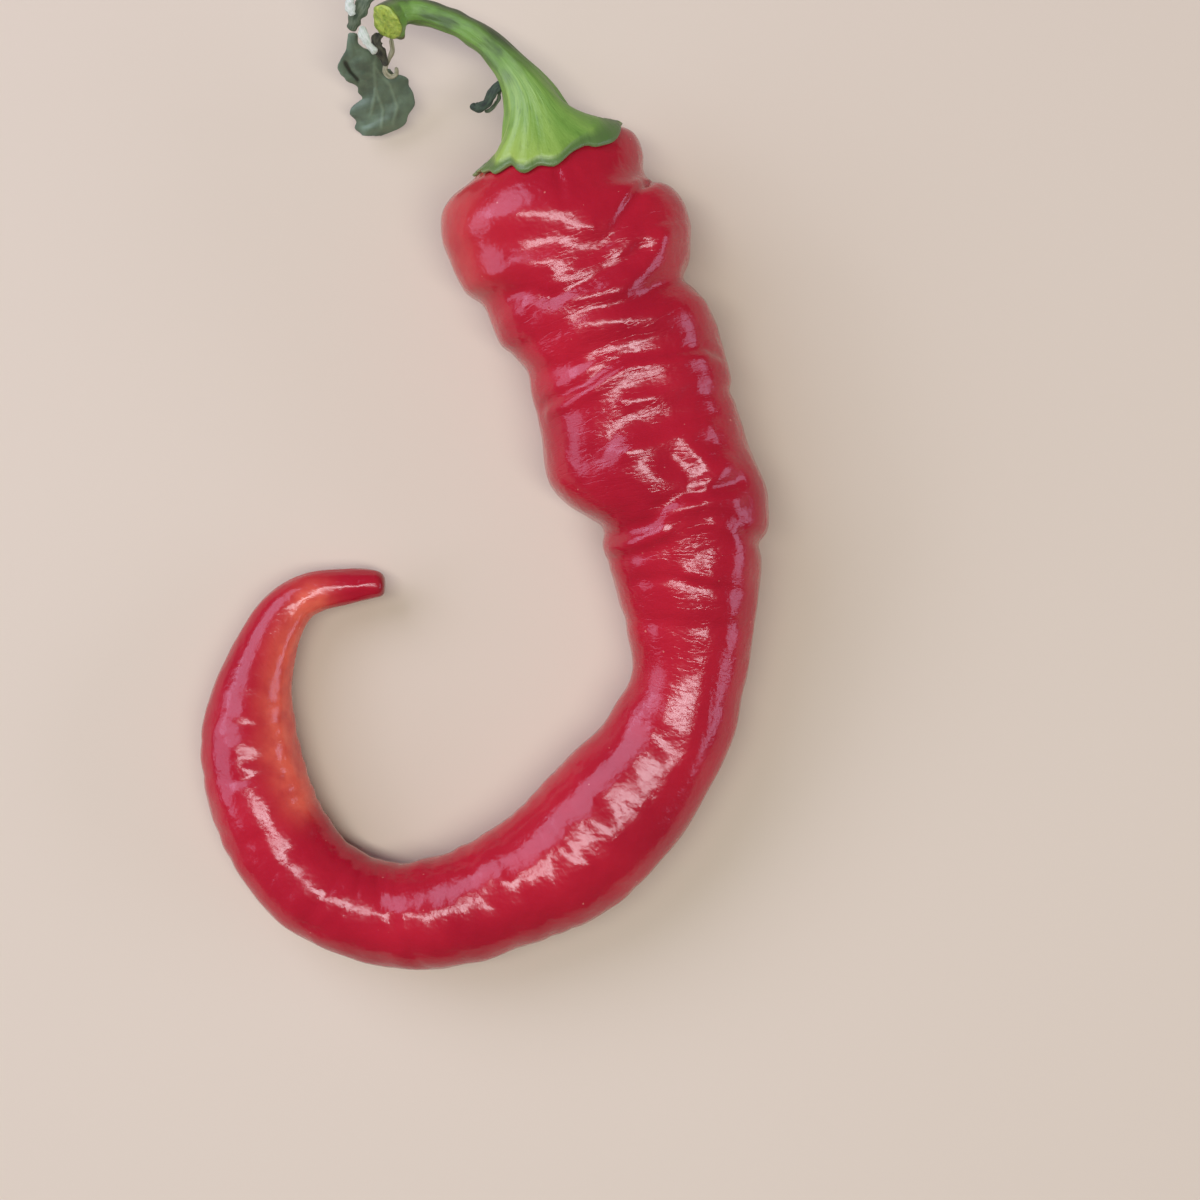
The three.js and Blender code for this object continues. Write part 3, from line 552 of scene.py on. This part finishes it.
# Its teeth and bays: the angle round the rim in degrees, the reach in sections, and the width in degrees.
RIM_TEETH = [
    (174, 0.3, 10), (127, -0.35, 12), (101, 0.2, 7), (81, 0.3, 8), (48, 1.1, 16), (4, 0.4, 12),
    (153, 0.3, 4), (143, -0.25, 4), (134, 0.3, 4), (117, 0.3, 4), (108, -0.25, 3), (92, -0.2, 4),
    (64, -0.25, 4), (222, 0.4, 12), (270, 0.4, 13), (320, 0.4, 12),
]
RIM_FRILL = 0.34
# The cap's rings: the inside ones as shares of the rim's reach, and the outside ones as shares of the way
# from the rim to the funnel's foot, each with its height over the gap that the cap keeps from the pod. The
# rings over one height are pleated.
CAP_GAP = 0.12
CAP_INSIDE = (0.02, 0.3, 0.6, 0.85, 0.97)
CAP_OUTSIDE = ((0, 0.3), (0, 0.6), (0.12, 0.75), (0.35, 0.85), (0.6, 0.95), (0.85, 1.15), (1, 1.4))
CAP_PLEATS = 0.2
PLEATS_ABOVE = 0.7
# The funnel's foot, as a share of the rim's reach: at the flanks, and how much nearer the rim it comes over
# the top, from one height round the crown on. It ends at the neck, a share of the way up the stem.
FUNNEL_AT_FLANKS = 0.49
FUNNEL_OVER_TOP = 0.42
FUNNEL_TOP_FROM = 0.62
FUNNEL_PLEATS = 0.09
NECK = 0.36
# Ribs round the stem: how many, how high as a share of its radius, and their phase in radians.
RIBS = (5, 0.045, 0.6)
FINE_RIBS = (10, 0.02, 1.3)
STEM_STREAKS = 0.02
# The arch is knobbly from these shares of the way up the stem on.
STEM_KNOBS = 0.09
STEM_KNOBS_FROM = (0.3, 0.5)
# Where the scar of a lost bud swells: its share of the way up the stem, its turn, how far it stands, and how
# far it reaches along the stem and round it.
BUD_SCAR = (0.965, 3.3, 1.1)
BUD_SCAR_SIZE = (0.018, 0.32)
# The rings of the torn end: their size, how far they stand past the end, and how rough the face is.
TORN_RINGS = ((0.97, 0.25), (0.85, 0.45), (0.5, 0.4), (0.2, 0.5), (0.001, 0.5))
TORN_ROUGH = 0.18
# The stem's rings start a little past its first row, inside the funnel.
STEM_START = 0.3
STEM_SIDES = 160
STEM_STEPS = 9


def rim_place(turn):
    """How many of the pod's sections the cap's rim reaches down from the crown."""
    height = np.sin(turn)
    reach = RIM_AT_FLANKS + RIM_OVER_TOP * np.maximum(height, 0) ** RIM_OVER_TOP_BEND
    reach = reach + RIM_UNDER_BELLY * np.maximum(-height, 0)
    for degrees, tooth, wide in RIM_TEETH:
        off = (np.degrees(turn) - degrees + 180) % 360 - 180
        reach = reach + tooth * np.exp(-((off / wide) ** 2))
    frill = np.clip(crumple(np.zeros(turn.shape) + 0.5, turn / (2 * np.pi), (4, 40), 21), -1, 1)
    return reach + RIM_FRILL * frill


def rings_along(middles, across, offsets):
    """Rings of points round a line, kept from twisting. Offsets are across and up, for each ring."""
    rings = []
    side = unit(across)
    for k, middle in enumerate(middles):
        heading = unit(middles[min(k + 1, len(middles) - 1)] - middles[max(k - 1, 0)])
        side = unit(side - heading * (side @ heading))
        up = np.cross(side, heading)
        rings.append(middle + offsets[k][:, :1] * side + offsets[k][:, 1:] * up)
    return np.array(rings)


turn = np.linspace(0, 2 * np.pi, STEM_SIDES, endpoint=False)
around = turn / (2 * np.pi)
every_side = np.ones(STEM_SIDES)
cap_rings = [pod_point(share * rim_place(turn), turn, CAP_GAP) for share in CAP_INSIDE]
foot_share = FUNNEL_AT_FLANKS + FUNNEL_OVER_TOP * ease(np.sin(turn), FUNNEL_TOP_FROM, 1)
pleats = crumple(0.5 * every_side, around, (4, 26), 22)
for step, high in CAP_OUTSIDE:
    share = 1 + (foot_share - 1) * step
    off = CAP_GAP + high + CAP_PLEATS * pleats * (high > PLEATS_ABOVE)
    cap_rings.append(pod_point(share * rim_place(turn), turn, off))
steps = (len(STEM_ROWS) - 1) * STEM_STEPS
stem_path = row_at(STEM_ROWS, np.linspace(STEM_START, len(STEM_ROWS) - 1, steps))
up_stem = np.linspace(0, 1, steps)
scar_turn = (turn - BUD_SCAR[1] + np.pi) % (2 * np.pi) - np.pi
offsets, scars = [], []
for radius, share in zip(stem_path[:, 3], up_stem):
    ribs = RIBS[1] * np.cos(RIBS[0] * turn + RIBS[2]) * (1 - 0.5 * share)
    ribs = ribs + FINE_RIBS[1] * np.cos(FINE_RIBS[0] * turn + FINE_RIBS[2])
    streaks = STEM_STREAKS * crumple(share * every_side, around, (9, 40), 23)
    knobs = STEM_KNOBS * crumple(share * every_side, around, (26, 7), 25)
    knobs = knobs * ease(share, *STEM_KNOBS_FROM)
    from_scar = ((share - BUD_SCAR[0]) / BUD_SCAR_SIZE[0]) ** 2 + (scar_turn / BUD_SCAR_SIZE[1]) ** 2
    scars.append(np.exp(-from_scar))
    width = radius * (1 + ribs + streaks + knobs) + BUD_SCAR[2] * scars[-1]
    offsets.append(np.stack([width * np.cos(turn), width * np.sin(turn)], 1))
stem_across = pod_form(3.0, np.zeros(1))[0] - pod_form(3.0, np.full(1, np.pi))[0]
stem_rings = rings_along(stem_path[:, :3], stem_across, offsets)
# The funnel is drawn straight from the cap up to the neck, and hollows only a little on its way.
neck = int(NECK * steps)
for k in range(neck):
    share = (k + 1) / neck
    straight = cap_rings[-1] + (stem_rings[neck] - cap_rings[-1]) * share
    outward = unit(stem_rings[k] - stem_path[k, :3])
    ribs = FUNNEL_PLEATS * pleats[:, None] * (1 - share) * outward
    stem_rings[k] = straight * (1 - share) + stem_rings[k] * share + ribs
end = stem_path[-1, :3]
heading = unit(end - stem_path[-2, :3])
rough = TORN_ROUGH * crumple(0.5 * every_side, around, (4, 14), 24)[:, None] * heading
end_rings = []
for size, reach in TORN_RINGS:
    end_rings.append(end + (stem_rings[-1] - end) * size + heading * reach + rough * size)
all_rings = np.concatenate([cap_rings, stem_rings, end_rings])
# The marks that its colours follow: how far along it a ring is (below 0 on the cap, above 1 on the torn end),
# how far out a side faces, and where the scar is.
ALONG_CAP = (-1, -1, -1, -1, -0.9, -0.66, -0.6, -0.54, -0.46, -0.36, -0.24, -0.12)
ALONG_TORN_END = 1.2
along = np.concatenate([ALONG_CAP, up_stem, np.full(len(end_rings), ALONG_TORN_END)])
along = np.repeat(along[:, None], STEM_SIDES, 1)
outer = np.repeat(np.cos(turn)[None], len(all_rings), 0)
none_on_cap = np.zeros((len(cap_rings), STEM_SIDES))
none_on_end = np.zeros((len(end_rings), STEM_SIDES))
scarred = np.concatenate([none_on_cap, scars, none_on_end])
marks = {"along": along[::-1], "outer": outer[::-1], "scarred": scarred[::-1]}
green = wrap("cap_and_stem", all_rings[::-1], marks)

STEM_GREEN = (0.2, 0.4, 0.06)
STREAK_DARK = (0.13, 0.28, 0.035)
STREAK_LIGHT = (0.29, 0.46, 0.085)
FINE_LINE = (0.09, 0.19, 0.025)
OUTER_PAINTED_SHADE = (0.1, 0.23, 0.03)
YELLOW_AND_LIT_FOOT = (0.38, 0.5, 0.06)
ARCH_GREEN = (0.14, 0.29, 0.04)
BRUISE = (0.035, 0.06, 0.02)
OUTER_ARCH_DARK = (0.045, 0.05, 0.03)
CAP_GREEN = (0.075, 0.14, 0.035)
RIM_EDGE = (0.24, 0.3, 0.11)
SCAR_BROWN = (0.09, 0.06, 0.03)
TORN_DARK = (0.22, 0.34, 0.03)
TORN_LIGHT = (0.4, 0.5, 0.06)
# How far the stem's finest relief stands, in metres.
STEM_LINES = 1.4e-4
STEM_GRAIN = 6e-5
TORN_PITS = 4e-4


def fresh_green():
    """Streaked green: darker on the cap and painted darker as shade on the outer side, yellow at the foot
    with painted light on its inner side, bruised on the arch, yellow where it tore.
    """
    material, nodes, links, shader = new_material("fresh_green", STEM_GREEN, 0.42)
    along, outer = mark_of(nodes, "along"), mark_of(nodes, "outer")
    streaks = spread(nodes, links, add_noise(nodes, links, 1, 5, (5, 34, 1), "UV"), 0.25, 0.75)
    colour = mix_in(nodes, links, STREAK_DARK, STREAK_LIGHT, streaks)
    lines = spread(nodes, links, add_noise(nodes, links, 1, 4, (16, 90, 1), "UV"), 0.56, 0.66, 0, 0.45)
    low = spread(nodes, links, along, 0.16, 0.0, 0, 0.45)
    inner = spread(nodes, links, outer, 0.4, -0.2)
    bruises = spread(nodes, links, add_noise(nodes, links, 1, 5, (7, 5, 1), "UV"), 0.45, 0.62)
    on_arch = spread(nodes, links, along, 0.3, 0.42, 0, 0.7)
    outermost = spread(nodes, links, outer, 0.45, 0.85)
    layers = [
        (FINE_LINE, lines),
        # Painted shade: the outer side is darkened, away from the light.
        (OUTER_PAINTED_SHADE, spread(nodes, links, outer, 0, 0.85, 0, 0.7)),
        # Yellow at the foot, partly its own colour and partly painted light, kept to the inner side where the
        # light falls.
        (YELLOW_AND_LIT_FOOT, times(nodes, links, low, inner)),
        (ARCH_GREEN, spread(nodes, links, along, 0.33, 0.45, 0, 0.8)),
        (BRUISE, times(nodes, links, bruises, on_arch)),
        # Darker on the outer side of the arch.
        (OUTER_ARCH_DARK, times(nodes, links, outermost, spread(nodes, links, along, 0.33, 0.5, 0, 0.8))),
        (CAP_GREEN, spread(nodes, links, along, -0.12, -0.4, 0, 0.85)),
        (RIM_EDGE, spread(nodes, links, along, -0.58, -0.64, 0, 0.8)),
        (SCAR_BROWN, spread(nodes, links, mark_of(nodes, "scarred"), 0.2, 0.7, 0, 0.9)),
    ]
    for over, amount in layers:
        colour = mix_in(nodes, links, colour, over, amount)
    torn = spread(nodes, links, along, 0.98, 1.1)
    flesh = spread(nodes, links, add_noise(nodes, links, 1300, 3), 0.35, 0.65)
    flesh = mix_in(nodes, links, TORN_DARK, TORN_LIGHT, flesh)
    colour = mix_in(nodes, links, colour, flesh, torn)
    links.new(colour, shader.inputs["Base Color"])
    shader.inputs["Coat Weight"].default_value = 0.1
    shader.inputs["Coat Roughness"].default_value = 0.35
    fine = add_noise(nodes, links, 1, 4, (12, 100, 1), "UV")
    grain = add_noise(nodes, links, 1500, 2)
    pits = times(nodes, links, add_noise(nodes, links, 1300, 3), torn)
    add_bumps(nodes, links, shader, [(fine, STEM_LINES), (grain, STEM_GRAIN), (pits, TORN_PITS)])
    return material


green.data.materials.append(fresh_green())
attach(green, "root")
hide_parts("stem_and_cap")

# The withered leaf hangs limp from the torn end: thin, cupped and ragged, with its left edge rolled over.
# It is a grid pulled between its two edges, with a wall added. One edge x, y, the other x, y, and the height.
LEAF_ROWS = np.array([
    [-20.9, 71.7, -19.6, 71.5, 19.6],
    [-21.2, 70.5, -19.7, 70.6, 18.6],
    [-21.6, 69.5, -19.2, 70.1, 17.4],
    [-22.5, 68.2, -17.9, 69.6, 16],
    [-22.7, 66.9, -16.6, 68.8, 14.4],
    [-22.2, 66, -15.8, 67.6, 12.8],
    [-21.2, 65.3, -14.5, 67.4, 11.3],
    [-20.2, 64.6, -12.8, 66.7, 9.9],
    [-20.4, 63.4, -11.9, 65.6, 8.5],
    [-21.5, 62.2, -11.9, 63.9, 7.2],
    [-21.3, 61, -12.4, 62.1, 6],
    [-21, 60, -13.5, 60.5, 5],
    [-21, 59.2, -15.4, 59.2, 4.2],
    [-19.9, 58.5, -17.6, 58.5, 3.6],
])
LEAF_ACROSS = 60
LEAF_DOWN = 130
LEAF_THICK = 0.5
# How ragged the edges are, how far the middle is cupped, how far it waves and crinkles, and how far the left
# edge rolls over. A row narrower than the full width is cupped and waved less.
LEAF_RAGGED = 0.45
LEAF_CUP = 1.1
LEAF_WAVE = 0.15
LEAF_CRINKLE = 0.2
LEAF_ROLL = 1.4
LEAF_FULL_WIDTH = 6
# As shares of the leaf: where its edges start to be ragged, where down it the roll is and how long, and how
# far across the roll reaches. Then how many radians its waves run through down it, and how far they slant.
LEAF_RAGGED_FROM = (0.15, 0.3)
LEAF_ROLL_AT, LEAF_ROLL_LONG = 0.38, 0.12
LEAF_ROLL_ACROSS = 0.3
LEAF_WAVES, LEAF_WAVE_SLANT = 23, 3
LEAF_VEINS = [
    [(-16.5, 71.5), (-17.5, 68), (-17.6, 64.5), (-18.6, 61.5)],
    [(-17.4, 67.5), (-15.2, 65.5), (-14.3, 62.5), (-15.2, 60.2)],
    [(-17.6, 64.8), (-16.6, 62), (-17, 59.6)],
]
LEAF_VEIN_WIDE = 0.2
LEAF_VEIN_HIGH = 0.12
# A slit where the leaf is folded together near the torn end, sunk in and painted nearly black as shade.
LEAF_SLIT = [(-21.9, 67.9), (-21.3, 66.8), (-20.4, 66)]
LEAF_SLIT_WIDE = 0.55
LEAF_SLIT_DEEP = 0.5


def sheet_of(name, points, thick, marks):
    """A thin piece made from a flat grid and given a wall."""
    piece = laid_grid(name, points, points.shape[1] - 1, marks)
    wall = piece.modifiers.new("wall", "SOLIDIFY")
    wall.thickness = thick * MM
    wall.offset = 0
    bpy.ops.object.modifier_apply(modifier=wall.name)
    bpy.ops.object.mode_set(mode="EDIT")
    bpy.ops.mesh.select_all(action="SELECT")
    bpy.ops.mesh.normals_make_consistent(inside=False)
    bpy.ops.object.mode_set(mode="OBJECT")
    bpy.ops.object.shade_smooth()
    return piece


down = np.linspace(0, 1, LEAF_DOWN + 1)
leaf_edges = row_at(LEAF_ROWS, down * (len(LEAF_ROWS) - 1))
ragged = LEAF_RAGGED * crumple(down, 0 * down, (26, 3), 31) * ease(down, *LEAF_RAGGED_FROM)
over = np.linspace(0, 1, LEAF_ACROSS + 1)
down_grid, over_grid = np.meshgrid(down, over, indexing="ij")
first, second, level = leaf_edges[:, None, 0:2], leaf_edges[:, None, 2:4], leaf_edges[:, 4:5]
full = np.minimum(1, np.linalg.norm(second - first, axis=2) / LEAF_FULL_WIDTH)
off = 2 * over_grid - 1
shift = np.sign(off) * np.abs(off) ** 3 * ragged[:, None]
leaf_flat = first + (second - first) * over_grid[..., None]
leaf_flat = leaf_flat + unit(second - first) * shift[..., None]
cup = LEAF_CUP * (1 - off**2) - LEAF_CUP / 2
wave = LEAF_WAVE * np.sin(LEAF_WAVES * down_grid + LEAF_WAVE_SLANT * off)
crinkle = LEAF_CRINKLE * crumple(down_grid, over_grid * 0.8, (20, 9), 32)
roll = LEAF_ROLL * np.exp(-(((down_grid - LEAF_ROLL_AT) / LEAF_ROLL_LONG) ** 2))
roll = roll * ease(over_grid, LEAF_ROLL_ACROSS, 0)
leaf_height = level + full * (cup + wave + crinkle) + roll
leaf_points = np.concatenate([leaf_flat, leaf_height[..., None]], -1)
veined = sum(np.exp(-((near_line(leaf_points, line) / LEAF_VEIN_WIDE) ** 2)) for line in LEAF_VEINS)
slit = np.exp(-((near_line(leaf_points, LEAF_SLIT) / LEAF_SLIT_WIDE) ** 2))
leaf_points[..., 2] += LEAF_VEIN_HIGH * veined - LEAF_SLIT_DEEP * slit
leaf = sheet_of("leaf", leaf_points, LEAF_THICK, {"vein": np.clip(veined, 0, 1), "slit": slit})

LEAF_GREEN = (0.08, 0.13, 0.07)
BLOTCH_DARK = (0.09, 0.13, 0.08)
BLOTCH_LIGHT = (0.15, 0.22, 0.13)
VEIN_GREEN = (0.24, 0.33, 0.2)
SLIT_PAINTED_SHADE = (0.02, 0.022, 0.012)
LEAF_GRAIN = 2e-4


def withered_green():
    """Dull blotched green with paler veins, and painted shade in the slit."""
    material, nodes, links, shader = new_material("withered_green", LEAF_GREEN, 0.6)
    blotches = spread(nodes, links, add_noise(nodes, links, 300, 4), 0.35, 0.65)
    colour = mix_in(nodes, links, BLOTCH_DARK, BLOTCH_LIGHT, blotches)
    on_veins = spread(nodes, links, mark_of(nodes, "vein"), 0, 1, 0, 0.5)
    colour = mix_in(nodes, links, colour, VEIN_GREEN, on_veins)
    # Painted shade: the slit is darkened nearly to black.
    shade_in_slit = spread(nodes, links, mark_of(nodes, "slit"), 0.3, 0.8, 0, 0.9)
    colour = mix_in(nodes, links, colour, SLIT_PAINTED_SHADE, shade_in_slit)
    links.new(colour, shader.inputs["Base Color"])
    add_bumps(nodes, links, shader, [(add_noise(nodes, links, 700, 4), LEAF_GRAIN)])
    return material


leaf.data.materials.append(withered_green())
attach(leaf, "root")
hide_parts("withered_leaf")

# A small dark bract curls beside the stem, and torn strips and a dry thread are left where the stem came
# away. They are flattened fibres, each wrapped round its own bent line. The bract's foot meets the stem, and
# the others lie close to the pieces that they tore from, with a little air between.
STRIP_SIDES = 20
STRIP_STEPS = 8
STRIP_UNEVEN = 0.22
# The larger this is, the shorter the ends are over which a strip narrows to a point.
STRIP_BLUNT = 16
# How far the fibres' lines stand, in metres.
FIBRE_LINES = 2e-4


def strip_along(name, line, wide, thick, seed):
    """A flattened strip along a line, a little uneven, tapered and closed at both ends."""
    rows = np.array([[*point, width] for point, width in zip(line, wide)], float)
    path = row_at(rows, np.linspace(0, len(rows) - 1, (len(rows) - 1) * STRIP_STEPS + 1))
    turn = np.linspace(0, 2 * np.pi, STRIP_SIDES, endpoint=False)
    share = np.linspace(0, 1, len(path))
    taper = np.sqrt(np.clip(STRIP_BLUNT * share * (1 - share), 0.0001, 1))
    offsets = []
    for k, width in enumerate(path[:, 3]):
        relief = crumple(np.full(STRIP_SIDES, share[k]), turn / (2 * np.pi), (14, 7), seed)
        size = taper[k] * (1 + STRIP_UNEVEN * relief) / 2
        offsets.append(np.stack([width * size * np.cos(turn), thick * size * np.sin(turn)], 1))
    heading = path[1, :3] - path[0, :3]
    rings = rings_along(path[:, :3], np.cross(heading, (0, 0, 1)), offsets)
    return wrap(name, rings[::-1])


def dry_fibre(name, dark, pale, roughness):
    """Dull fibre, streaked along its length between a dark and a pale colour."""
    material, nodes, links, shader = new_material(name, dark, roughness)
    streaks = spread(nodes, links, add_noise(nodes, links, 1, 3, (6, 14, 1), "UV"), 0.35, 0.65)
    links.new(mix_in(nodes, links, dark, pale, streaks), shader.inputs["Base Color"])
    lines = add_noise(nodes, links, 1, 3, (8, 40, 1), "UV")
    add_bumps(nodes, links, shader, [(lines, FIBRE_LINES)])
    return material


dark_bract = dry_fibre("dark_bract", (0.012, 0.022, 0.01), (0.045, 0.08, 0.035), 0.6)
torn_bark = dry_fibre("torn_bark", (0.05, 0.08, 0.035), (0.14, 0.18, 0.1), 0.7)
withered = dry_fibre("withered", (0.02, 0.02, 0.01), (0.08, 0.08, 0.04), 0.8)
pale_fibre = dry_fibre("pale_fibre", (0.5, 0.58, 0.42), (0.72, 0.76, 0.62), 0.75)
dry_thread = dry_fibre("dry_thread", (0.25, 0.24, 0.12), (0.5, 0.48, 0.3), 0.75)
# Each strip's node, slot and finish, its thickness, its widths along the way, and the points it runs by.
STRIPS = [
    ("side_bract", "dark_bract", dark_bract, 0.6, (1.2, 1.5, 1.7, 1.4, 1.5, 0.9),
     [(4, 63.2, 22), (2.5, 62.7, 21.6), (1.6, 61.4, 20.8), (0.6, 60.3, 20), (-0.7, 59.9, 19.2),
      (-1.8, 60.4, 18.8)]),
    ("torn_bark", "torn_bark", torn_bark, 0.9, (1.2, 2.4, 2.7, 2.2, 1.2),
     [(-16.3, 77, 23.9), (-18, 75.8, 23.8), (-19.1, 74.2, 23.2), (-19.9, 72.9, 21.8), (-20.5, 71.9, 20.6)]),
    ("withered_strip", "withered_strip", withered, 0.6, (1.6, 1.9, 1.7, 1.2, 0.8),
     [(-16.1, 71.5, 20.6), (-16.5, 70, 20.6), (-16.1, 68.9, 20.2), (-15.5, 67.8, 19.4), (-15.1, 66.6, 18.8)]),
    ("pale_strip_long", "pale_fibre", pale_fibre, 0.6, (1, 1.4, 1.2, 1),
     [(-18.6, 72.1, 22.6), (-18.3, 70.7, 22.7), (-17.5, 69.3, 22.2), (-16.5, 68, 21.4)]),
    ("pale_strip_short", "pale_fibre", pale_fibre, 0.6, (0.9, 1.6, 1.1),
     [(-19.8, 73.3, 24.4), (-20.2, 74.6, 24.7), (-20.4, 76.2, 24.5)]),
    ("curled_thread", "dry_thread", dry_thread, 0.5, (0.7, 0.8, 0.8, 0.8, 0.8, 0.7, 0.7),
     [(-14.3, 71, 19.2), (-14.2, 69.3, 18.2), (-14.9, 67.9, 17.3), (-15.5, 66.5, 16.5), (-14.7, 65.5, 16.1),
      (-13.8, 65.9, 16.1), (-13.7, 67, 16.4)]),
]
for seed, (node, slot, material, thick, wide, line) in enumerate(STRIPS, 41):
    strip = strip_along(node + "_fibre", line, wide, thick, seed)
    strip.data.materials.append(material)
    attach(strip, "root")
    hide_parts(node)

# A thinner strand of the side bract hangs beside it, split off from the same foot on the stem. It is
# a strip too, in the colour of the torn bark.
BRACT_STRAND = [(3.9, 63.7, 21.7), (3, 62.3, 21), (2.7, 61, 20.3), (1.6, 59.7, 19.5), (0.5, 59.4, 19)]
strand = strip_along("bract_strand", BRACT_STRAND, (0.7, 0.6, 0.6, 0.7, 0.5), 0.4, 48)
strand.data.materials.append(torn_bark)
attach(strand, "root")

# The floor is a wide pale sheet just under the pod, plain and matt.
FLOOR_SIZE = 3
FLOOR_UNDER = 0.0001
FLOOR_COLOUR = (0.62, 0.54, 0.39)
bpy.ops.object.select_all(action="DESELECT")
bpy.ops.mesh.primitive_plane_add(size=FLOOR_SIZE, location=(0, 0, -FLOOR_UNDER))
floor = bpy.context.object
floor.name = floor.data.name = "floor"
pale_floor = new_material("pale_floor", FLOOR_COLOUR, 0.75)[0]
floor.data.materials.append(pale_floor)

# The light is soft: a long lamp overhead, two wide cool windows beyond the hook's side, and a lower one on
# the other side. Each has its place and size in metres, its colour, and its power in watts.
LAMP_WHITE = (0.95, 0.94, 1)
LAMP_TURN = math.radians(-22)
LIT_POINT = (0.0, 0.0, 0.01)
ROOM_COLOUR = (1, 0.96, 0.93, 1)
ROOM_STRENGTH = 0.11


def soft_light(name, place, size, colour, power):
    """A soft light with a rounded face that faces the pod."""
    light = bpy.data.lights.new(name, "AREA")
    light.shape = "ELLIPSE"
    light.size, light.size_y = size
    light.energy = power
    light.color = colour
    lamp = bpy.data.objects.new(name, light)
    bpy.context.collection.objects.link(lamp)
    lamp.location = place
    way = np.array(place, float) - LIT_POINT
    flat = math.hypot(way[0], way[1])
    lamp.rotation_euler = (math.atan2(flat, way[2]), 0, math.atan2(way[0], -way[1]))
    return lamp


long_lamp = soft_light("long_lamp", (0.03, -0.1, 1), (1.0, 0.22), LAMP_WHITE, 7.2)
long_lamp.rotation_euler = (0, 0, LAMP_TURN)
soft_light("cool_corner", (-0.62, 0.47, 0.72), (0.85, 0.75), (0.7, 0.68, 1), 6.6)
soft_light("cool_side", (-1.12, 0.05, 0.56), (1.1, 0.75), (0.68, 0.66, 1), 6.2)
soft_light("low_side", (1.15, -0.15, 0.38), (1.1, 0.5), (0.7, 0.67, 1), 4.8)
room = bpy.data.worlds.new("room")
room.use_nodes = True
backdrop = room.node_tree.nodes["Background"]
backdrop.inputs["Color"].default_value = ROOM_COLOUR
backdrop.inputs["Strength"].default_value = ROOM_STRENGTH
bpy.context.scene.world = room
bpy.context.scene.view_settings.view_transform = "Standard"

# The camera looks straight down from 42 cm above the surface, a little off the middle of the pod.
CAMERA_PLACE = (0.0188, -0.018, 0.42)
CAMERA_LENS = 75.94
CAMERA_SENSOR = 36
camera = bpy.data.objects.new("camera", bpy.data.cameras.new("camera"))
bpy.context.collection.objects.link(camera)
camera.location = CAMERA_PLACE
camera.rotation_euler = (0, 0, 0)
camera.data.lens = CAMERA_LENS
camera.data.sensor_width = CAMERA_SENSOR
camera.data.clip_start = 0.01
bpy.context.scene.camera = camera
